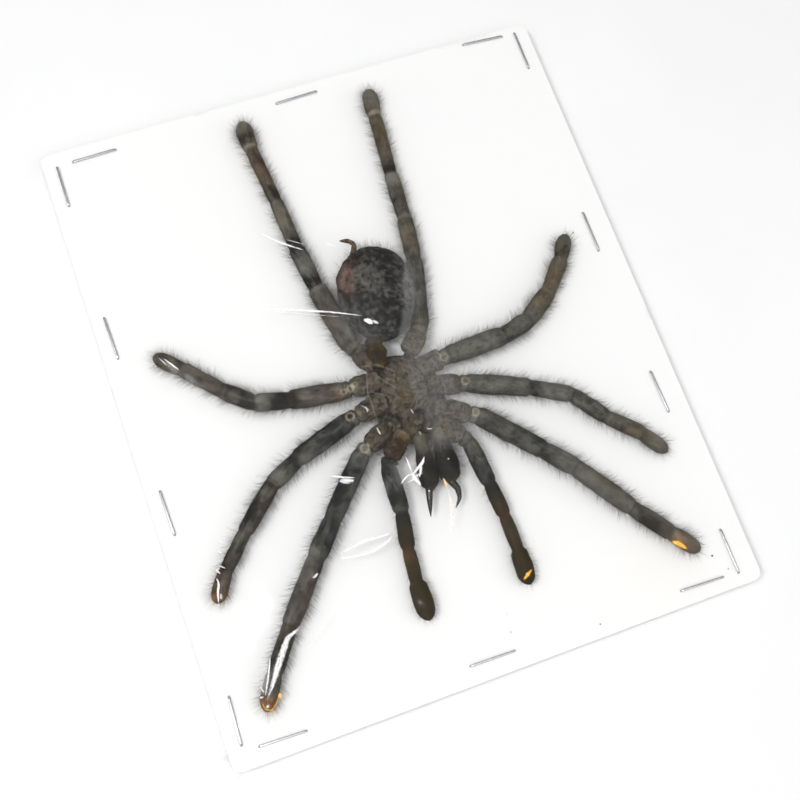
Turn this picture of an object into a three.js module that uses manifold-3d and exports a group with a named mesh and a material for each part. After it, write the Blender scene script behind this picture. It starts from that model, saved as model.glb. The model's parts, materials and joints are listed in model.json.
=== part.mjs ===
// A dried tarantula laid underside up on a foam board, under clear film held by staples.
// Millimetres, +Z up. The origin is the middle of the board's back face, where it rests.
// +Y runs up the long side of the board, and the spider's head points to -Y.
// Left and right are as seen from above, facing the underside of the spider.

import * as THREE from "three";
import { ConvexGeometry } from "three/addons/geometries/ConvexGeometry.js";
import { mergeVertices } from "three/addons/utils/BufferGeometryUtils.js";
import Module from "manifold-3d";

const wasm = await Module();
wasm.setup();

// ---------------------------------------------------------------- driving dimensions

const GAP = 0.3; // air between neighbouring pieces

const BOARD = { width: 145, height: 173, thick: 5, corner: 2.5 };

// The film lies flat on a hem round the board and rises to the spider inside it.
const FILM = { thick: 0.3, lip: 0.5, hem: { left: 5, right: 7.7, top: 5.4, bottom: 6 } };

const STAPLE = { wire: 0.5, crown: 12.9, clinch: 2.4, bend: 0.7 };

// Each staple is the middle of its crown and the heading of the crown in degrees.
const STAPLES = {
  left: [[-68.7, 76.1, 89.4], [-68.8, 30.1, 91], [-68.7, -19.5, 91], [-68.4, -74.3, 87]],
  top: [[-58.1, 82.4, 1], [0.8, 83, 1.4], [58.6, 84.6, -3.7]],
  right: [[68.4, 78.3, 89.5], [66.1, 18.8, 89.7], [66.2, -30.7, 91.3], [66.6, -77.1, 90]],
  bottom: [[-58.7, -82.3, -2], [-2.8, -81.8, -1], [56.2, -82.6, -2]],
};

// Heights of the leg centre line above the board: hip, knee, and on to the tip.
const LEG_HEIGHTS = [5, 4.6, 4.1, 3.4, 2.9, 2.5];
const REAR_LEG_HEIGHTS = [4.4, 3.5, 3.4, 3.1, 2.8, 2.5];
const PALP_HEIGHTS = [4.8, 4.2, 3.6, 3.2, 2.7];

// A limb starts at its hip and runs through segments of [length, heading, width].
// Legs: femur, patella, tibia, metatarsus, tarsus. Palps have no metatarsus.
const LIMBS = {
  leg_1_left: {
    hip: [-16.9, -21.8], heights: LEG_HEIGHTS, coxa: [-5.5, -16.5],
    run: [[19, -133, 5.2], [10.5, -132, 5.2], [17.9, -130, 5], [12.3, -127, 4.3], [9.2, -121, 4.5]],
  },
  leg_1_right: {
    hip: [15.3, -22], heights: LEG_HEIGHTS, coxa: [4.5, -16.5],
    run: [[19.4, -47, 5.5], [9.6, -48, 5.1], [18, -55, 5.1], [12, -52, 4.6], [8.9, -51, 4.5]],
  },
  leg_2_left: {
    hip: [-17, -12.5], heights: LEG_HEIGHTS, coxa: [-6, -10.5],
    run: [[16.9, -162, 5.4], [9.4, -153, 4.7], [13.9, -138, 4.5], [10.8, -134, 3.8], [8.2, -124, 4.2]],
  },
  leg_2_right: {
    hip: [15.7, -12.8], heights: LEG_HEIGHTS, coxa: [5, -10.5],
    run: [[17, -22, 5.5], [11.6, -28, 4.6], [10.7, -52, 4.4], [10.7, -44, 4.3], [8.2, -55, 4.2]],
  },
  leg_3_left: {
    hip: [-16.1, -4.5], heights: LEG_HEIGHTS, coxa: [-5.5, -5],
    run: [[14.3, 171, 5.6], [9.2, 165, 4.9], [9.1, 138, 4.7], [11.9, 132, 4.4], [8.4, 135, 4.2]],
  },
  leg_3_right: {
    hip: [13.7, -4], heights: LEG_HEIGHTS, coxa: [4.5, -5],
    run: [[16.3, 2, 5.7], [8.4, 15, 5.1], [10.6, 35, 5.1], [10.8, 49, 4.6], [7.6, 58, 4.3]],
  },
  leg_4_left: {
    hip: [-10.1, 6.8], heights: REAR_LEG_HEIGHTS, coxa: [-5.5, -2],
    run: [[19, 99, 5.8], [12.7, 97, 4.7], [14.9, 93, 4.1], [17.3, 95, 3.8], [8.9, 90, 4.7]],
  },
  leg_4_right: {
    hip: [9.4, 6], heights: REAR_LEG_HEIGHTS, coxa: [3.5, -0.5],
    run: [[19.8, 74, 5.2], [12.5, 82, 4.6], [14, 86, 4.2], [18.7, 84, 3.9], [8.3, 84, 4.6]],
  },
  palp_left: {
    hip: [-11.7, -27.2], heights: PALP_HEIGHTS, coxa: [-5, -19.5],
    run: [[12.4, -93, 4.8], [9.6, -100, 4.1], [8.6, -95, 4], [10, -91, 5.2]],
  },
  palp_right: {
    hip: [10.6, -27.8], heights: PALP_HEIGHTS, coxa: [4, -19.5],
    run: [[12.2, -84, 4.6], [9.1, -85, 4.1], [9.4, -89, 3.9], [9.3, -92, 4.9]],
  },
};

const COXA_WIDTH = 5.4;
const COXA_ROOT_HEIGHT = 6; // where a coxa meets the sternum
const CARAPACE = { centre: [-0.6, -11.5], width: 20, length: 25, height: 7 };
const STERNUM = { centre: [-0.6, -9.5], width: 11, length: 16, height: 4, level: 7 };
const ABDOMEN = { centre: [1, 18.2], width: 19.8, length: 27.4, height: 11, heading: 80 };
const PEDICEL = { from: [-4.4, -1.5], to: [-4.2, 6.4], width: 5.6, taper: 0.85, level: 5.4 };
const SPINNERET = { root: [-0.2, 31.8], bend: [-0.3, 34.7], tip: [-3, 36.3], width: 2.4 };

const CHELICERAE = {
  left: { root: [-2.6, -26], end: [-2.9, -35], width: 5.2 },
  right: { root: [2.8, -26], end: [2.7, -35.2], width: 5.4 },
};
const FANGS = {
  left: { root: [-3.5, -36], bend: [-4.7, -39.8], tip: [-5.5, -42.6], width: 1.5 },
  right: { root: [2.2, -36], bend: [3.3, -39.6], tip: [1.5, -42.6], width: 1.6 },
};
const CHELICERA_LEVEL = 4.6;
const FANG_LEVELS = [4.6, 4.1, 3.6]; // root, bend and tip
const SPINNERET_LEVELS = [4.6, 4.3, 3.8];

// Turned profiles as shares of the full radius: at the root, at the widest place, at the end.
const LIMB_SHAPE = { root: 0.76, widest: 0.5, end: 0.78 };
const CHELICERA_SHAPE = { root: 0.72, widest: 0.68, end: 0.74 };
const HORN_TAPER = [1, 0.72, 0.26]; // widths of a horn at its root, bend and tip
const ROUNDING = 0.3; // how far a rounded end stands out, as a share of the width

const SIDES = 7; // sides of a limb's section
const BODY_SIDES = { round: 16, over: 12 }; // steps round and over a body egg
const CORNER_STEPS = 4;

const COLOURS = {
  board: 0xf2f1ec, film: 0xe9eef0, staple: 0xb9bcc0, leg: 0x4d4740, body: 0x6b6055,
  abdomen: 0x3c3733, amber: 0x7a5a22, chelicera: 0x2c2e24, fang: 0x0c0b0a,
};

// ---------------------------------------------------------------- solids and meshes

function toSolid(geometry) {
  const bare = new THREE.BufferGeometry();
  bare.setAttribute("position", geometry.getAttribute("position").clone());
  if (geometry.index) bare.setIndex(geometry.index.clone());
  const merged = mergeVertices(bare, 1e-4);
  const mesh = new wasm.Mesh({
    numProp: 3,
    vertProperties: new Float32Array(merged.getAttribute("position").array),
    triVerts: new Uint32Array(merged.index.array),
  });
  return new wasm.Manifold(mesh);
}

function toGeometry(solid) {
  const { vertProperties, triVerts } = solid.getMesh();
  const geometry = new THREE.BufferGeometry();
  geometry.setAttribute("position", new THREE.BufferAttribute(new Float32Array(vertProperties), 3));
  geometry.setIndex(new THREE.BufferAttribute(new Uint32Array(triVerts), 1));
  geometry.computeVertexNormals();
  return geometry;
}

function join(solids) {
  return solids.reduce((whole, solid) => whole.add(solid));
}

function above(point, height) {
  return new THREE.Vector3(point[0], point[1], BOARD.thick + height);
}

function step(point, length, heading) {
  const angle = THREE.MathUtils.degToRad(heading);
  return [point[0] + length * Math.cos(angle), point[1] + length * Math.sin(angle)];
}

// ---------------------------------------------------------------- turned and swept forms

// A turned form between two points. Each profile entry is [share of the length, radius].
function turned(from, to, profile, sides) {
  const length = from.distanceTo(to);
  const points = profile.map(([share, radius]) => new THREE.Vector2(radius, share * length));
  const geometry = new THREE.LatheGeometry(points, sides);
  const along = to.clone().sub(from).normalize();
  geometry.applyQuaternion(new THREE.Quaternion().setFromUnitVectors(new THREE.Vector3(0, 1, 0), along));
  geometry.translate(from.x, from.y, from.z);
  return toSolid(geometry);
}

// One segment of a limb: swollen at its widest place and rounded at both ends.
function segment(from, to, width, grow = 0, shape = LIMB_SHAPE) {
  const r = width / 2 + grow;
  const over = (width * ROUNDING + grow) / from.distanceTo(to);
  const profile = [[-over, 0], [0, r * shape.root], [shape.widest, r], [1, r * shape.end], [1 + over, 0]];
  return turned(from, to, profile, SIDES);
}

// A tapering form through several points, made of short turned pieces.
function tapered(points, widths) {
  const pieces = [];
  for (let i = 0; i + 1 < points.length; i += 1) {
    const [a, b] = [widths[i] / 2, widths[i + 1] / 2];
    const span = points[i].distanceTo(points[i + 1]);
    const profile = [[-a / span / 2, 0], [0, a], [1, b], [1 + b / span / 2, 0]];
    pieces.push(turned(points[i], points[i + 1], profile, SIDES));
  }
  return join(pieces);
}

// A rounded egg with three different half axes, turned about the vertical.
function egg({ centre, width, length, height, heading = 90 }, level, grow = 0) {
  const geometry = new THREE.SphereGeometry(1, BODY_SIDES.round, BODY_SIDES.over);
  geometry.rotateX(Math.PI / 2);
  geometry.scale(length / 2 + grow, width / 2 + grow, height / 2 + grow);
  geometry.rotateZ(THREE.MathUtils.degToRad(heading));
  geometry.translate(centre[0], centre[1], BOARD.thick + level);
  return toSolid(geometry);
}

// ---------------------------------------------------------------- the spider

function hipPoint(limb, back = 0) {
  const { hip, coxa } = limb;
  const away = Math.atan2(hip[1] - coxa[1], hip[0] - coxa[0]);
  return [hip[0] - back * Math.cos(away), hip[1] - back * Math.sin(away)];
}

function cephalothorax(grow = 0) {
  const shells = [
    egg(CARAPACE, GAP + CARAPACE.height / 2, grow),
    egg(STERNUM, STERNUM.level, grow),
  ];
  for (const limb of Object.values(LIMBS)) {
    const root = above(limb.coxa, COXA_ROOT_HEIGHT);
    const end = above(hipPoint(limb, COXA_WIDTH / 2), limb.heights[0]);
    shells.push(segment(root, end, COXA_WIDTH, grow));
  }
  return join(shells);
}

function abdomen(grow = 0) {
  return egg(ABDOMEN, GAP + ABDOMEN.height / 2, grow);
}

function limbSolid(limb) {
  let place = limb.hip;
  const pieces = [];
  limb.run.forEach(([length, heading, width], i) => {
    const next = step(place, length, heading);
    const isLast = i === limb.run.length - 1;
    const reach = isLast ? step(next, -width * ROUNDING, heading) : next;
    pieces.push(segment(above(place, limb.heights[i]), above(reach, limb.heights[i + 1]), width));
    place = next;
  });
  return join(pieces);
}

function pedicel() {
  const { from, to, width, taper, level } = PEDICEL;
  return tapered([above(from, level), above(to, level)], [width, width * taper]);
}

// A small horn: root, bend and tip at their own levels, thinner at each.
function horn({ root, bend, tip, width }, levels) {
  const points = [root, bend, tip].map((point, i) => above(point, levels[i]));
  return tapered(points, HORN_TAPER.map((share) => share * width));
}

function chelicera({ root, end, width }, grow = 0) {
  const [from, to] = [above(root, CHELICERA_LEVEL), above(end, CHELICERA_LEVEL)];
  return segment(from, to, width, grow, CHELICERA_SHAPE);
}

function spider() {
  const body = cephalothorax();
  const belly = abdomen();
  const bodyRoom = cephalothorax(GAP);
  const bellyRoom = abdomen(GAP);
  const parts = { cephalothorax: [body, "body"], abdomen: [belly, "abdomen"] };
  for (const [name, limb] of Object.entries(LIMBS)) {
    parts[name] = [limbSolid(limb).subtract(bodyRoom).subtract(bellyRoom), "leg"];
  }
  parts.pedicel = [pedicel().subtract(bodyRoom).subtract(bellyRoom), "amber"];
  parts.spinneret = [horn(SPINNERET, SPINNERET_LEVELS).subtract(bellyRoom), "amber"];
  for (const side of ["left", "right"]) {
    const jaw = CHELICERAE[side];
    parts[`chelicera_${side}`] = [chelicera(jaw).subtract(bodyRoom), "chelicera"];
    parts[`fang_${side}`] = [horn(FANGS[side], FANG_LEVELS).subtract(chelicera(jaw, GAP)), "fang"];
  }
  return parts;
}

// ---------------------------------------------------------------- board, staples and film

// A slab with rounded corners: the board's outline, larger all round by grow.
function slab(grow, bottom, top) {
  const [w, h, r] = [BOARD.width / 2 + grow, BOARD.height / 2 + grow, BOARD.corner + grow];
  const outline = new THREE.Shape();
  outline.absarc(w - r, h - r, r, 0, Math.PI / 2);
  outline.absarc(-w + r, h - r, r, Math.PI / 2, Math.PI);
  outline.absarc(-w + r, -h + r, r, Math.PI, 1.5 * Math.PI);
  outline.absarc(w - r, -h + r, r, 1.5 * Math.PI, 2 * Math.PI);
  const options = { depth: top - bottom, bevelEnabled: false, curveSegments: CORNER_STEPS };
  const geometry = new THREE.ExtrudeGeometry(outline, options);
  geometry.translate(0, 0, bottom);
  return toSolid(geometry);
}

const FILM_TOP = BOARD.thick + GAP + FILM.thick;
const CROWN_TOP = FILM_TOP + GAP + STAPLE.wire;

// A bent staple in the XZ plane: crown on top, two legs, and their ends folded inwards.
function stapleGeometry() {
  const { wire, crown, clinch, bend } = STAPLE;
  const [half, low, high] = [crown / 2, GAP, CROWN_TOP];
  const outline = new THREE.Shape();
  outline.moveTo(-half + clinch, low);
  outline.lineTo(-half + clinch, low + wire);
  outline.lineTo(-half + wire, low + wire);
  outline.lineTo(-half + wire, high - wire);
  outline.lineTo(half - wire, high - wire);
  outline.lineTo(half - wire, low + wire);
  outline.lineTo(half - clinch, low + wire);
  outline.lineTo(half - clinch, low);
  outline.absarc(half - bend, low + bend, bend, -Math.PI / 2, 0);
  outline.absarc(half - bend, high - bend, bend, 0, Math.PI / 2);
  outline.absarc(-half + bend, high - bend, bend, Math.PI / 2, Math.PI);
  outline.absarc(-half + bend, low + bend, bend, Math.PI, 1.5 * Math.PI);
  const geometry = new THREE.ExtrudeGeometry(outline, { depth: wire, bevelEnabled: false, curveSegments: 2 });
  geometry.translate(0, 0, -wire / 2);
  geometry.rotateX(Math.PI / 2);
  return geometry;
}

// The room that one staple needs: two holes for its legs and a groove for each folded end.
function stapleRoom() {
  const { wire, crown, clinch } = STAPLE;
  const side = wire + 2 * GAP;
  const rooms = [];
  for (const hand of [-1, 1]) {
    const hole = new THREE.BoxGeometry(side, side, FILM_TOP + 2);
    hole.translate(hand * (crown - wire) / 2, 0, FILM_TOP / 2);
    const length = clinch + 2 * GAP;
    const groove = new THREE.BoxGeometry(length, side, 2 * (2 * GAP + wire));
    groove.translate(hand * (crown / 2 + GAP - length / 2), 0, 0);
    rooms.push(toSolid(hole).add(toSolid(groove)));
  }
  return join(rooms);
}

function placements() {
  const places = [];
  for (const [side, row] of Object.entries(STAPLES)) {
    row.forEach(([x, y, heading], i) => {
      const turn = new THREE.Matrix4().makeRotationZ(THREE.MathUtils.degToRad(heading));
      places.push({ name: `staple_${side}_${i + 1}`, matrix: turn.setPosition(x, y, 0) });
    });
  }
  return places;
}

function allStapleRooms(places) {
  return join(places.map(({ matrix }) => stapleRoom().transform(matrix.elements)));
}

// The taut cap that film makes over the spider, kept clear of it by the given distance.
function cap(points, clear) {
  const cloud = [];
  for (const p of points) {
    for (const sx of [-1, 1]) {
      for (const sy of [-1, 1]) {
        cloud.push(new THREE.Vector3(p.x + sx * clear, p.y + sy * clear, p.z + clear));
        cloud.push(new THREE.Vector3(p.x + sx * clear, p.y + sy * clear, BOARD.thick));
      }
    }
  }
  const { left, right, top, bottom } = FILM.hem;
  const [w, h] = [BOARD.width / 2 + clear, BOARD.height / 2 + clear];
  for (const x of [-w + left, w - right]) {
    for (const y of [-h + bottom, h - top]) {
      cloud.push(new THREE.Vector3(x, y, BOARD.thick + clear));
      cloud.push(new THREE.Vector3(x, y, BOARD.thick));
    }
  }
  return toSolid(new ConvexGeometry(cloud));
}

function hullPoints(solids) {
  const points = [];
  for (const solid of solids) {
    const { vertProperties } = solid.getMesh();
    for (let i = 0; i < vertProperties.length; i += 3) {
      points.push(new THREE.Vector3().fromArray(vertProperties, i));
    }
  }
  const hull = new ConvexGeometry(points).getAttribute("position");
  const corners = new Map();
  for (let i = 0; i < hull.count; i += 1) {
    const p = new THREE.Vector3().fromBufferAttribute(hull, i);
    corners.set(p.toArray().join(), p);
  }
  return [...corners.values()];
}

function clearFilm(spiderSolids, rooms) {
  const points = hullPoints(spiderSolids);
  const clear = GAP + FILM.thick;
  const outside = slab(clear, FILM.lip, FILM_TOP).add(cap(points, clear));
  const inside = slab(GAP, -1, BOARD.thick + GAP).add(cap(points, GAP));
  return outside.subtract(inside).subtract(rooms);
}

// ---------------------------------------------------------------- assembly

const MATERIALS = {};
for (const [name, color] of Object.entries(COLOURS)) {
  MATERIALS[name] = new THREE.MeshStandardMaterial({ color, roughness: 0.7, metalness: 0 });
}
MATERIALS.staple.setValues({ roughness: 0.3, metalness: 1 });
MATERIALS.film.setValues({ roughness: 0.1, transparent: true, opacity: 0.3 });
MATERIALS.fang.setValues({ roughness: 0.2 });

function named(name, geometry, material) {
  const mesh = new THREE.Mesh(geometry, MATERIALS[material]);
  mesh.name = name;
  return mesh;
}

const specimen = new THREE.Group();
const places = placements();
const rooms = allStapleRooms(places);
const parts = spider();

specimen.add(named("backing_board", toGeometry(slab(0, 0, BOARD.thick).subtract(rooms)), "board"));
for (const [name, [solid, material]] of Object.entries(parts)) {
  specimen.add(named(name, toGeometry(solid), material));
}
const filmSolid = clearFilm(Object.values(parts).map(([solid]) => solid), rooms);
specimen.add(named("clear_film", toGeometry(filmSolid), "film"));
for (const { name, matrix } of places) {
  const staple = named(name, stapleGeometry(), "staple");
  staple.applyMatrix4(matrix);
  specimen.add(staple);
}

export default specimen;
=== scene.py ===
import json
import math

import bpy
import numpy as np
from bpy.props import FloatProperty, FloatVectorProperty, IntProperty, PointerProperty
from mathutils import Matrix, Vector, noise
from mathutils.bvhtree import BVHTree

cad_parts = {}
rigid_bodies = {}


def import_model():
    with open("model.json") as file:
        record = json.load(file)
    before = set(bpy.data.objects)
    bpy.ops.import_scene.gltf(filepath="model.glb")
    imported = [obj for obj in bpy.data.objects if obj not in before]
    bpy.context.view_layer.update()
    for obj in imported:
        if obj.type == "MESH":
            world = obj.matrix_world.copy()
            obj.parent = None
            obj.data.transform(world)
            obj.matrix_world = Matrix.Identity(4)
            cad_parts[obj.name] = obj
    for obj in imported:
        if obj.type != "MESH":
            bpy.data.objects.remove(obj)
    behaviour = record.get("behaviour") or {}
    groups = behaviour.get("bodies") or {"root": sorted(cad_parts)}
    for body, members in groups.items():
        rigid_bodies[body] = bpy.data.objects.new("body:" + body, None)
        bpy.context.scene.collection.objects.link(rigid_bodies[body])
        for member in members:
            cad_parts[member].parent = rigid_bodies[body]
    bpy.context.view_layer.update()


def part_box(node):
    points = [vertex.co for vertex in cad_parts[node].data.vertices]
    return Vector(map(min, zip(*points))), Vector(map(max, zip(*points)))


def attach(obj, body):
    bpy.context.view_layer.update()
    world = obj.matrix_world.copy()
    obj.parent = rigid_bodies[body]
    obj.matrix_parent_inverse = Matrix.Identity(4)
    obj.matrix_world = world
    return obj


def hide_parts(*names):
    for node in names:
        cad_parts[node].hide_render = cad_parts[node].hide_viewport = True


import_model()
BOARD_LOW, BOARD_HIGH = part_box("backing_board")

bl_info = {
    "name": "Mounted Tarantula Specimen",
    "version": (1, 0, 0),
    "blender": (4, 5, 0),
    "location": "3D View > Sidebar > Specimen",
    "description": "Builds a dried tarantula on a foam board under clear stapled film",
    "category": "Add Mesh",
}

# Shapes are worked out in millimetres above the board's back face, and stored in metres.
MM = 0.001
THICK = BOARD_HIGH.z / MM
# One kind of mark, the orange glint, is a painted reflection of a warm light, not a colour of the cuticle.
MARK_KINDS = ("pale", "dark", "warm", "ruddy", "gold", "cream")
SKIN_SHINE = 0.12  # specular level of dull cuticle and hair
POLE = 0.3  # how far a tube's pole stands past its last ring, as a share of the radius there

# ---- the spider's layout

# Heights of a limb's centre line above the board: hip, knee, and on to the tip.
LEG_HEIGHTS = (5, 4.6, 4.1, 3.4, 2.9, 2.5)
REAR_HEIGHTS = (4.4, 3.5, 3.4, 3.1, 2.8, 2.5)
PALP_HEIGHTS = (4.8, 4.2, 3.6, 3.2, 2.7)

# A limb runs from its hip through segments of (length, heading, width).
# Legs: femur, patella, tibia, metatarsus, tarsus. Palps have no metatarsus.
LIMBS = {
    "leg_1_left": (
        (-16.9, -21.8), LEG_HEIGHTS, (-5.5, -16.5),
        ((19, -133, 5.2), (10.5, -132, 5.2), (17.9, -130, 5), (12.3, -127, 4.3), (9.2, -121, 4.5))),
    "leg_1_right": (
        (15.3, -22), LEG_HEIGHTS, (4.5, -16.5),
        ((19.4, -47, 5.5), (9.6, -48, 5.1), (18, -55, 5.1), (12, -52, 4.6), (8.9, -51, 4.5))),
    "leg_2_left": (
        (-17, -12.5), LEG_HEIGHTS, (-6, -10.5),
        ((16.9, -162, 5.4), (9.4, -153, 4.7), (13.9, -138, 4.5), (10.8, -134, 3.8), (8.2, -124, 4.2))),
    "leg_2_right": (
        (15.7, -12.8), LEG_HEIGHTS, (5, -10.5),
        ((17, -22, 5.5), (11.6, -28, 4.6), (10.7, -52, 4.4), (10.7, -44, 4.3), (8.2, -55, 4.2))),
    "leg_3_left": (
        (-16.1, -4.5), LEG_HEIGHTS, (-5.5, -5),
        ((14.3, 171, 5.6), (9.2, 165, 4.9), (9.1, 138, 4.7), (11.9, 132, 4.4), (8.4, 135, 4.2))),
    "leg_3_right": (
        (13.7, -4), LEG_HEIGHTS, (4.5, -5),
        ((16.3, 2, 5.7), (8.4, 15, 5.1), (10.6, 35, 5.1), (10.8, 49, 4.6), (7.6, 58, 4.3))),
    "leg_4_left": (
        (-10.1, 6.8), REAR_HEIGHTS, (-5.5, -2),
        ((19, 99, 5.8), (12.7, 97, 4.7), (14.9, 93, 4.1), (17.3, 95, 3.8), (8.9, 90, 4.7))),
    "leg_4_right": (
        (9.4, 6), REAR_HEIGHTS, (3.5, -0.5),
        ((19.8, 74, 5.2), (12.5, 82, 4.6), (14, 86, 4.2), (18.7, 84, 3.9), (8.3, 84, 4.6))),
    "palp_left": (
        (-11.7, -27.2), PALP_HEIGHTS, (-5, -19.5),
        ((12.4, -93, 4.8), (9.6, -100, 4.1), (8.6, -95, 3.7), (10, -91, 5.2))),
    "palp_right": (
        (10.6, -27.8), PALP_HEIGHTS, (4, -19.5),
        ((12.2, -84, 4.6), (9.1, -85, 4), (9.4, -89, 3.6), (9.3, -92, 4.9))),
}

# Marks on a limb: (what, segment, place along it, reach in mm, side, strength).
# Segments count from 0 at the femur. Side is -1 left of the way to the tip, 1 right, 0 all round.
# The orange glint marks among them are painted reflections of a warm light on the film.
MARKS = {
    "leg_1_left": (
        ("dark", 0, 0.55, 5, 1, 0.7), ("dark", 1, 0.5, 4, -1, 0.6), ("pale", 1, 0.9, 1.6, 1, 0.7),
        ("dark", 2, 0.15, 3, -1, 0.8), ("pale", 2, 0.2, 4, 1, 0.4), ("dark", 2, 0.6, 4, 0, 0.3),
        ("warm", 3, 0.2, 3, 0, 0.3), ("gold", 4, 0.9, 2.4, 0, 0.9), ("pale", 0, 0.12, 1.5, 1, 0.4),
        ("ruddy", 2, 0.6, 8, -1, 0.45)),
    "leg_1_right": (
        ("dark", 0, 0.85, 2.2, -1, 0.7), ("dark", 1, 0.2, 2.5, 0, 0.4), ("pale", 1, 0.55, 2, -1, 0.3),
        ("warm", 2, 0.5, 5, -1, 0.4), ("pale", 3, 0.5, 4, -1, 0.4), ("dark", 3, 0.6, 4, 1, 0.8),
        ("ruddy", 4, 0.4, 4, 1, 0.9), ("pale", 4, 0.6, 2, -1, 0.5), ("gold", 4, 0.3, 1.3, 1, 0.6)),
    "leg_2_left": (
        ("pale", 0, 0.94, 1.8, -1, 0.8), ("dark", 1, 0.15, 1.6, 0, 0.6), ("pale", 1, 0.7, 1.6, 0, 0.3),
        ("dark", 2, 0.4, 4, 1, 0.3), ("pale", 3, 0.2, 2, 1, 0.5), ("gold", 4, 0.9, 2, 0, 0.7),
        ("ruddy", 4, 0.3, 3, 0, 0.4), ("ruddy", 2, 0.3, 6, -1, 0.4)),
    "leg_2_right": (
        ("dark", 1, 0.08, 1.5, 0, 0.8), ("pale", 0, 0.5, 5, -1, 0.2), ("pale", 2, 0.75, 1.5, -1, 0.4),
        ("dark", 3, 0.3, 3, 1, 0.4), ("warm", 3, 0.8, 3, 0, 0.4), ("pale", 4, 0.5, 2, -1, 0.5)),
    "leg_3_left": (
        ("pale", 0, 0.6, 2.6, -1, 0.2), ("dark", 0, 0.95, 1.5, 0, 0.5), ("dark", 1, 0.25, 2, 0, 0.6),
        ("pale", 1, 0.75, 2, 0, 0.7), ("pale", 2, 0.98, 1.2, -1, 0.6), ("pale", 3, 0.6, 3, 1, 0.5),
        ("pale", 4, 0.5, 4, 0, 0.5), ("gold", 0, 0.1, 1.2, -1, 0.3),
        ("ruddy", 0, 0.5, 8, 0, 0.25), ("ruddy", 3, 0.4, 8, 0, 0.25)),
    "leg_3_right": (
        ("pale", 1, 0.5, 2, -1, 0.3), ("dark", 0, 0.96, 1.2, 0, 0.4), ("warm", 2, 0.6, 4, 0, 0.5),
        ("warm", 3, 0.4, 5, 0, 0.5), ("pale", 2, 0.97, 0.9, -1, 0.8)),
    "leg_4_left": (
        ("pale", 0, 0.97, 0.9, 0, 0.7), ("dark", 1, 0.12, 1.6, 0, 0.8), ("pale", 1, 0.6, 3, 0, 0.5),
        ("dark", 2, 0.05, 1.8, 0, 0.9), ("pale", 2, 0.55, 4, -1, 0.5), ("warm", 2, 0.6, 4, 0, 0.4),
        ("dark", 3, 0.09, 2.2, 1, 1.0), ("warm", 3, 0.6, 6, 0, 0.5), ("dark", 3, 0.72, 1.6, 1, 0.7),
        ("cream", 4, 0.02, 0.5, 0, 0.6), ("dark", 4, 0.35, 1, -1, 0.6), ("pale", 4, 0.8, 2.5, 0, 0.5),
        ("ruddy", 0, 0.5, 9, 0, 0.3), ("ruddy", 3, 0.6, 6, 0, 0.3)),
    "leg_4_right": (
        ("warm", 0, 0.05, 2, 0, 0.3), ("warm", 1, 0.5, 4, 0, 0.6), ("pale", 1, 0.55, 3, -1, 0.6),
        ("cream", 2, 0.0, 0.6, 0, 0.4), ("dark", 2, 0.35, 4, 0, 0.8), ("ruddy", 2, 0.45, 3, 1, 0.6),
        ("pale", 2, 0.86, 1.6, 0, 0.5), ("dark", 3, 0.04, 1, 0, 0.7), ("warm", 3, 0.6, 6, 0, 0.6),
        ("pale", 3, 0.7, 5, 1, 0.3), ("cream", 4, 0.0, 0.5, 0, 1.0), ("pale", 4, 0.6, 3, 0, 0.4)),
    "palp_left": (
        ("dark", 0, 0.7, 4, -1, 0.5), ("pale", 0, 0.95, 1.2, 0, 0.3), ("dark", 1, 0.12, 1.6, 0, 0.7),
        ("warm", 1, 0.6, 3, 0, 0.8), ("gold", 2, 0.15, 2.4, 1, 0.35), ("warm", 2, 0.5, 5, 0, 1.0),
        ("pale", 2, 0.3, 3, 1, 0.3), ("warm", 3, 0.5, 6, 0, 0.9), ("dark", 3, 0.5, 6, 0, 0.35)),
    "palp_right": (
        ("pale", 0, 0.15, 4, 0, 0.5), ("dark", 1, 0.1, 1.5, 0, 0.4), ("warm", 1, 0.7, 4, 0, 0.9),
        ("ruddy", 2, 0.04, 1.2, 0, 0.9), ("warm", 2, 0.5, 5, 0, 1.0), ("warm", 3, 0.5, 6, 0, 0.9),
        ("dark", 3, 0.5, 6, 0, 0.4)),
}

# Limbs that are darker all over.
SHADE = {"leg_1_left": 0.12, "leg_2_left": 0.34, "leg_3_left": 0.36, "palp_left": 0.75, "palp_right": 0.55}

# Radius along a segment, as shares of half its width.
SWELL = {
    "trochanter": ((0, 0.72), (0.4, 0.98), (1, 0.92)),
    "femur": ((0, 0.92), (0.5, 1.0), (1, 0.92)),
    "patella": ((0, 0.92), (0.75, 1.02), (1, 0.92)),
    "tibia": ((0, 0.93), (0.6, 1.0), (1, 0.93)),
    "metatarsus": ((0, 0.92), (0.75, 1.0), (1, 0.93)),
    "tarsus": ((0, 0.9), (0.5, 1.03), (1, 0.88)),
}
LEG_SEGMENTS = ("femur", "patella", "tibia", "metatarsus", "tarsus")
PALP_SEGMENTS = ("femur", "patella", "tibia", "tarsus")

COXA_WIDTH = 5.6
COXA_ROOT_HEIGHT = 6
TROCHANTER = 2.6  # length of the ring segment before the hip
CARAPACE = ((-0.6, -11.5, 3.6), (10, 12.5, 3.5))
STERNUM = ((-1.0, -9.8, 6.3), (6.2, 8.2, 1.9))
LABIUM = ((-0.7, -18.2, 7.4), (1.9, 1.5, 1.2))
ABDOMEN = {"centre": (1.35, 18.0, 5.7), "half": (10.5, 13.6, 5.45), "heading": 80, "taper": 0.09}
PEDICEL = ((-4.6, -2.2, 6.5), (-4.9, 2, 7.2), (-4.0, 6.6, 6.3), 2.9)
SPINNERET = ((-0.6, 31.2, 4.7), (0.6, 33.9, 4.6), (-0.6, 35.4, 4.4), (-2.9, 36.3, 4.0))
CHELICERAE = {
    "chelicera_left": ((-1.2, -21.5, 5.6), (-3.2, -37.0, 4.4), 5.6),
    "chelicera_right": ((4.0, -21.0, 5.6), (2.6, -36.9, 4.4), 6.3),
}
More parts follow.
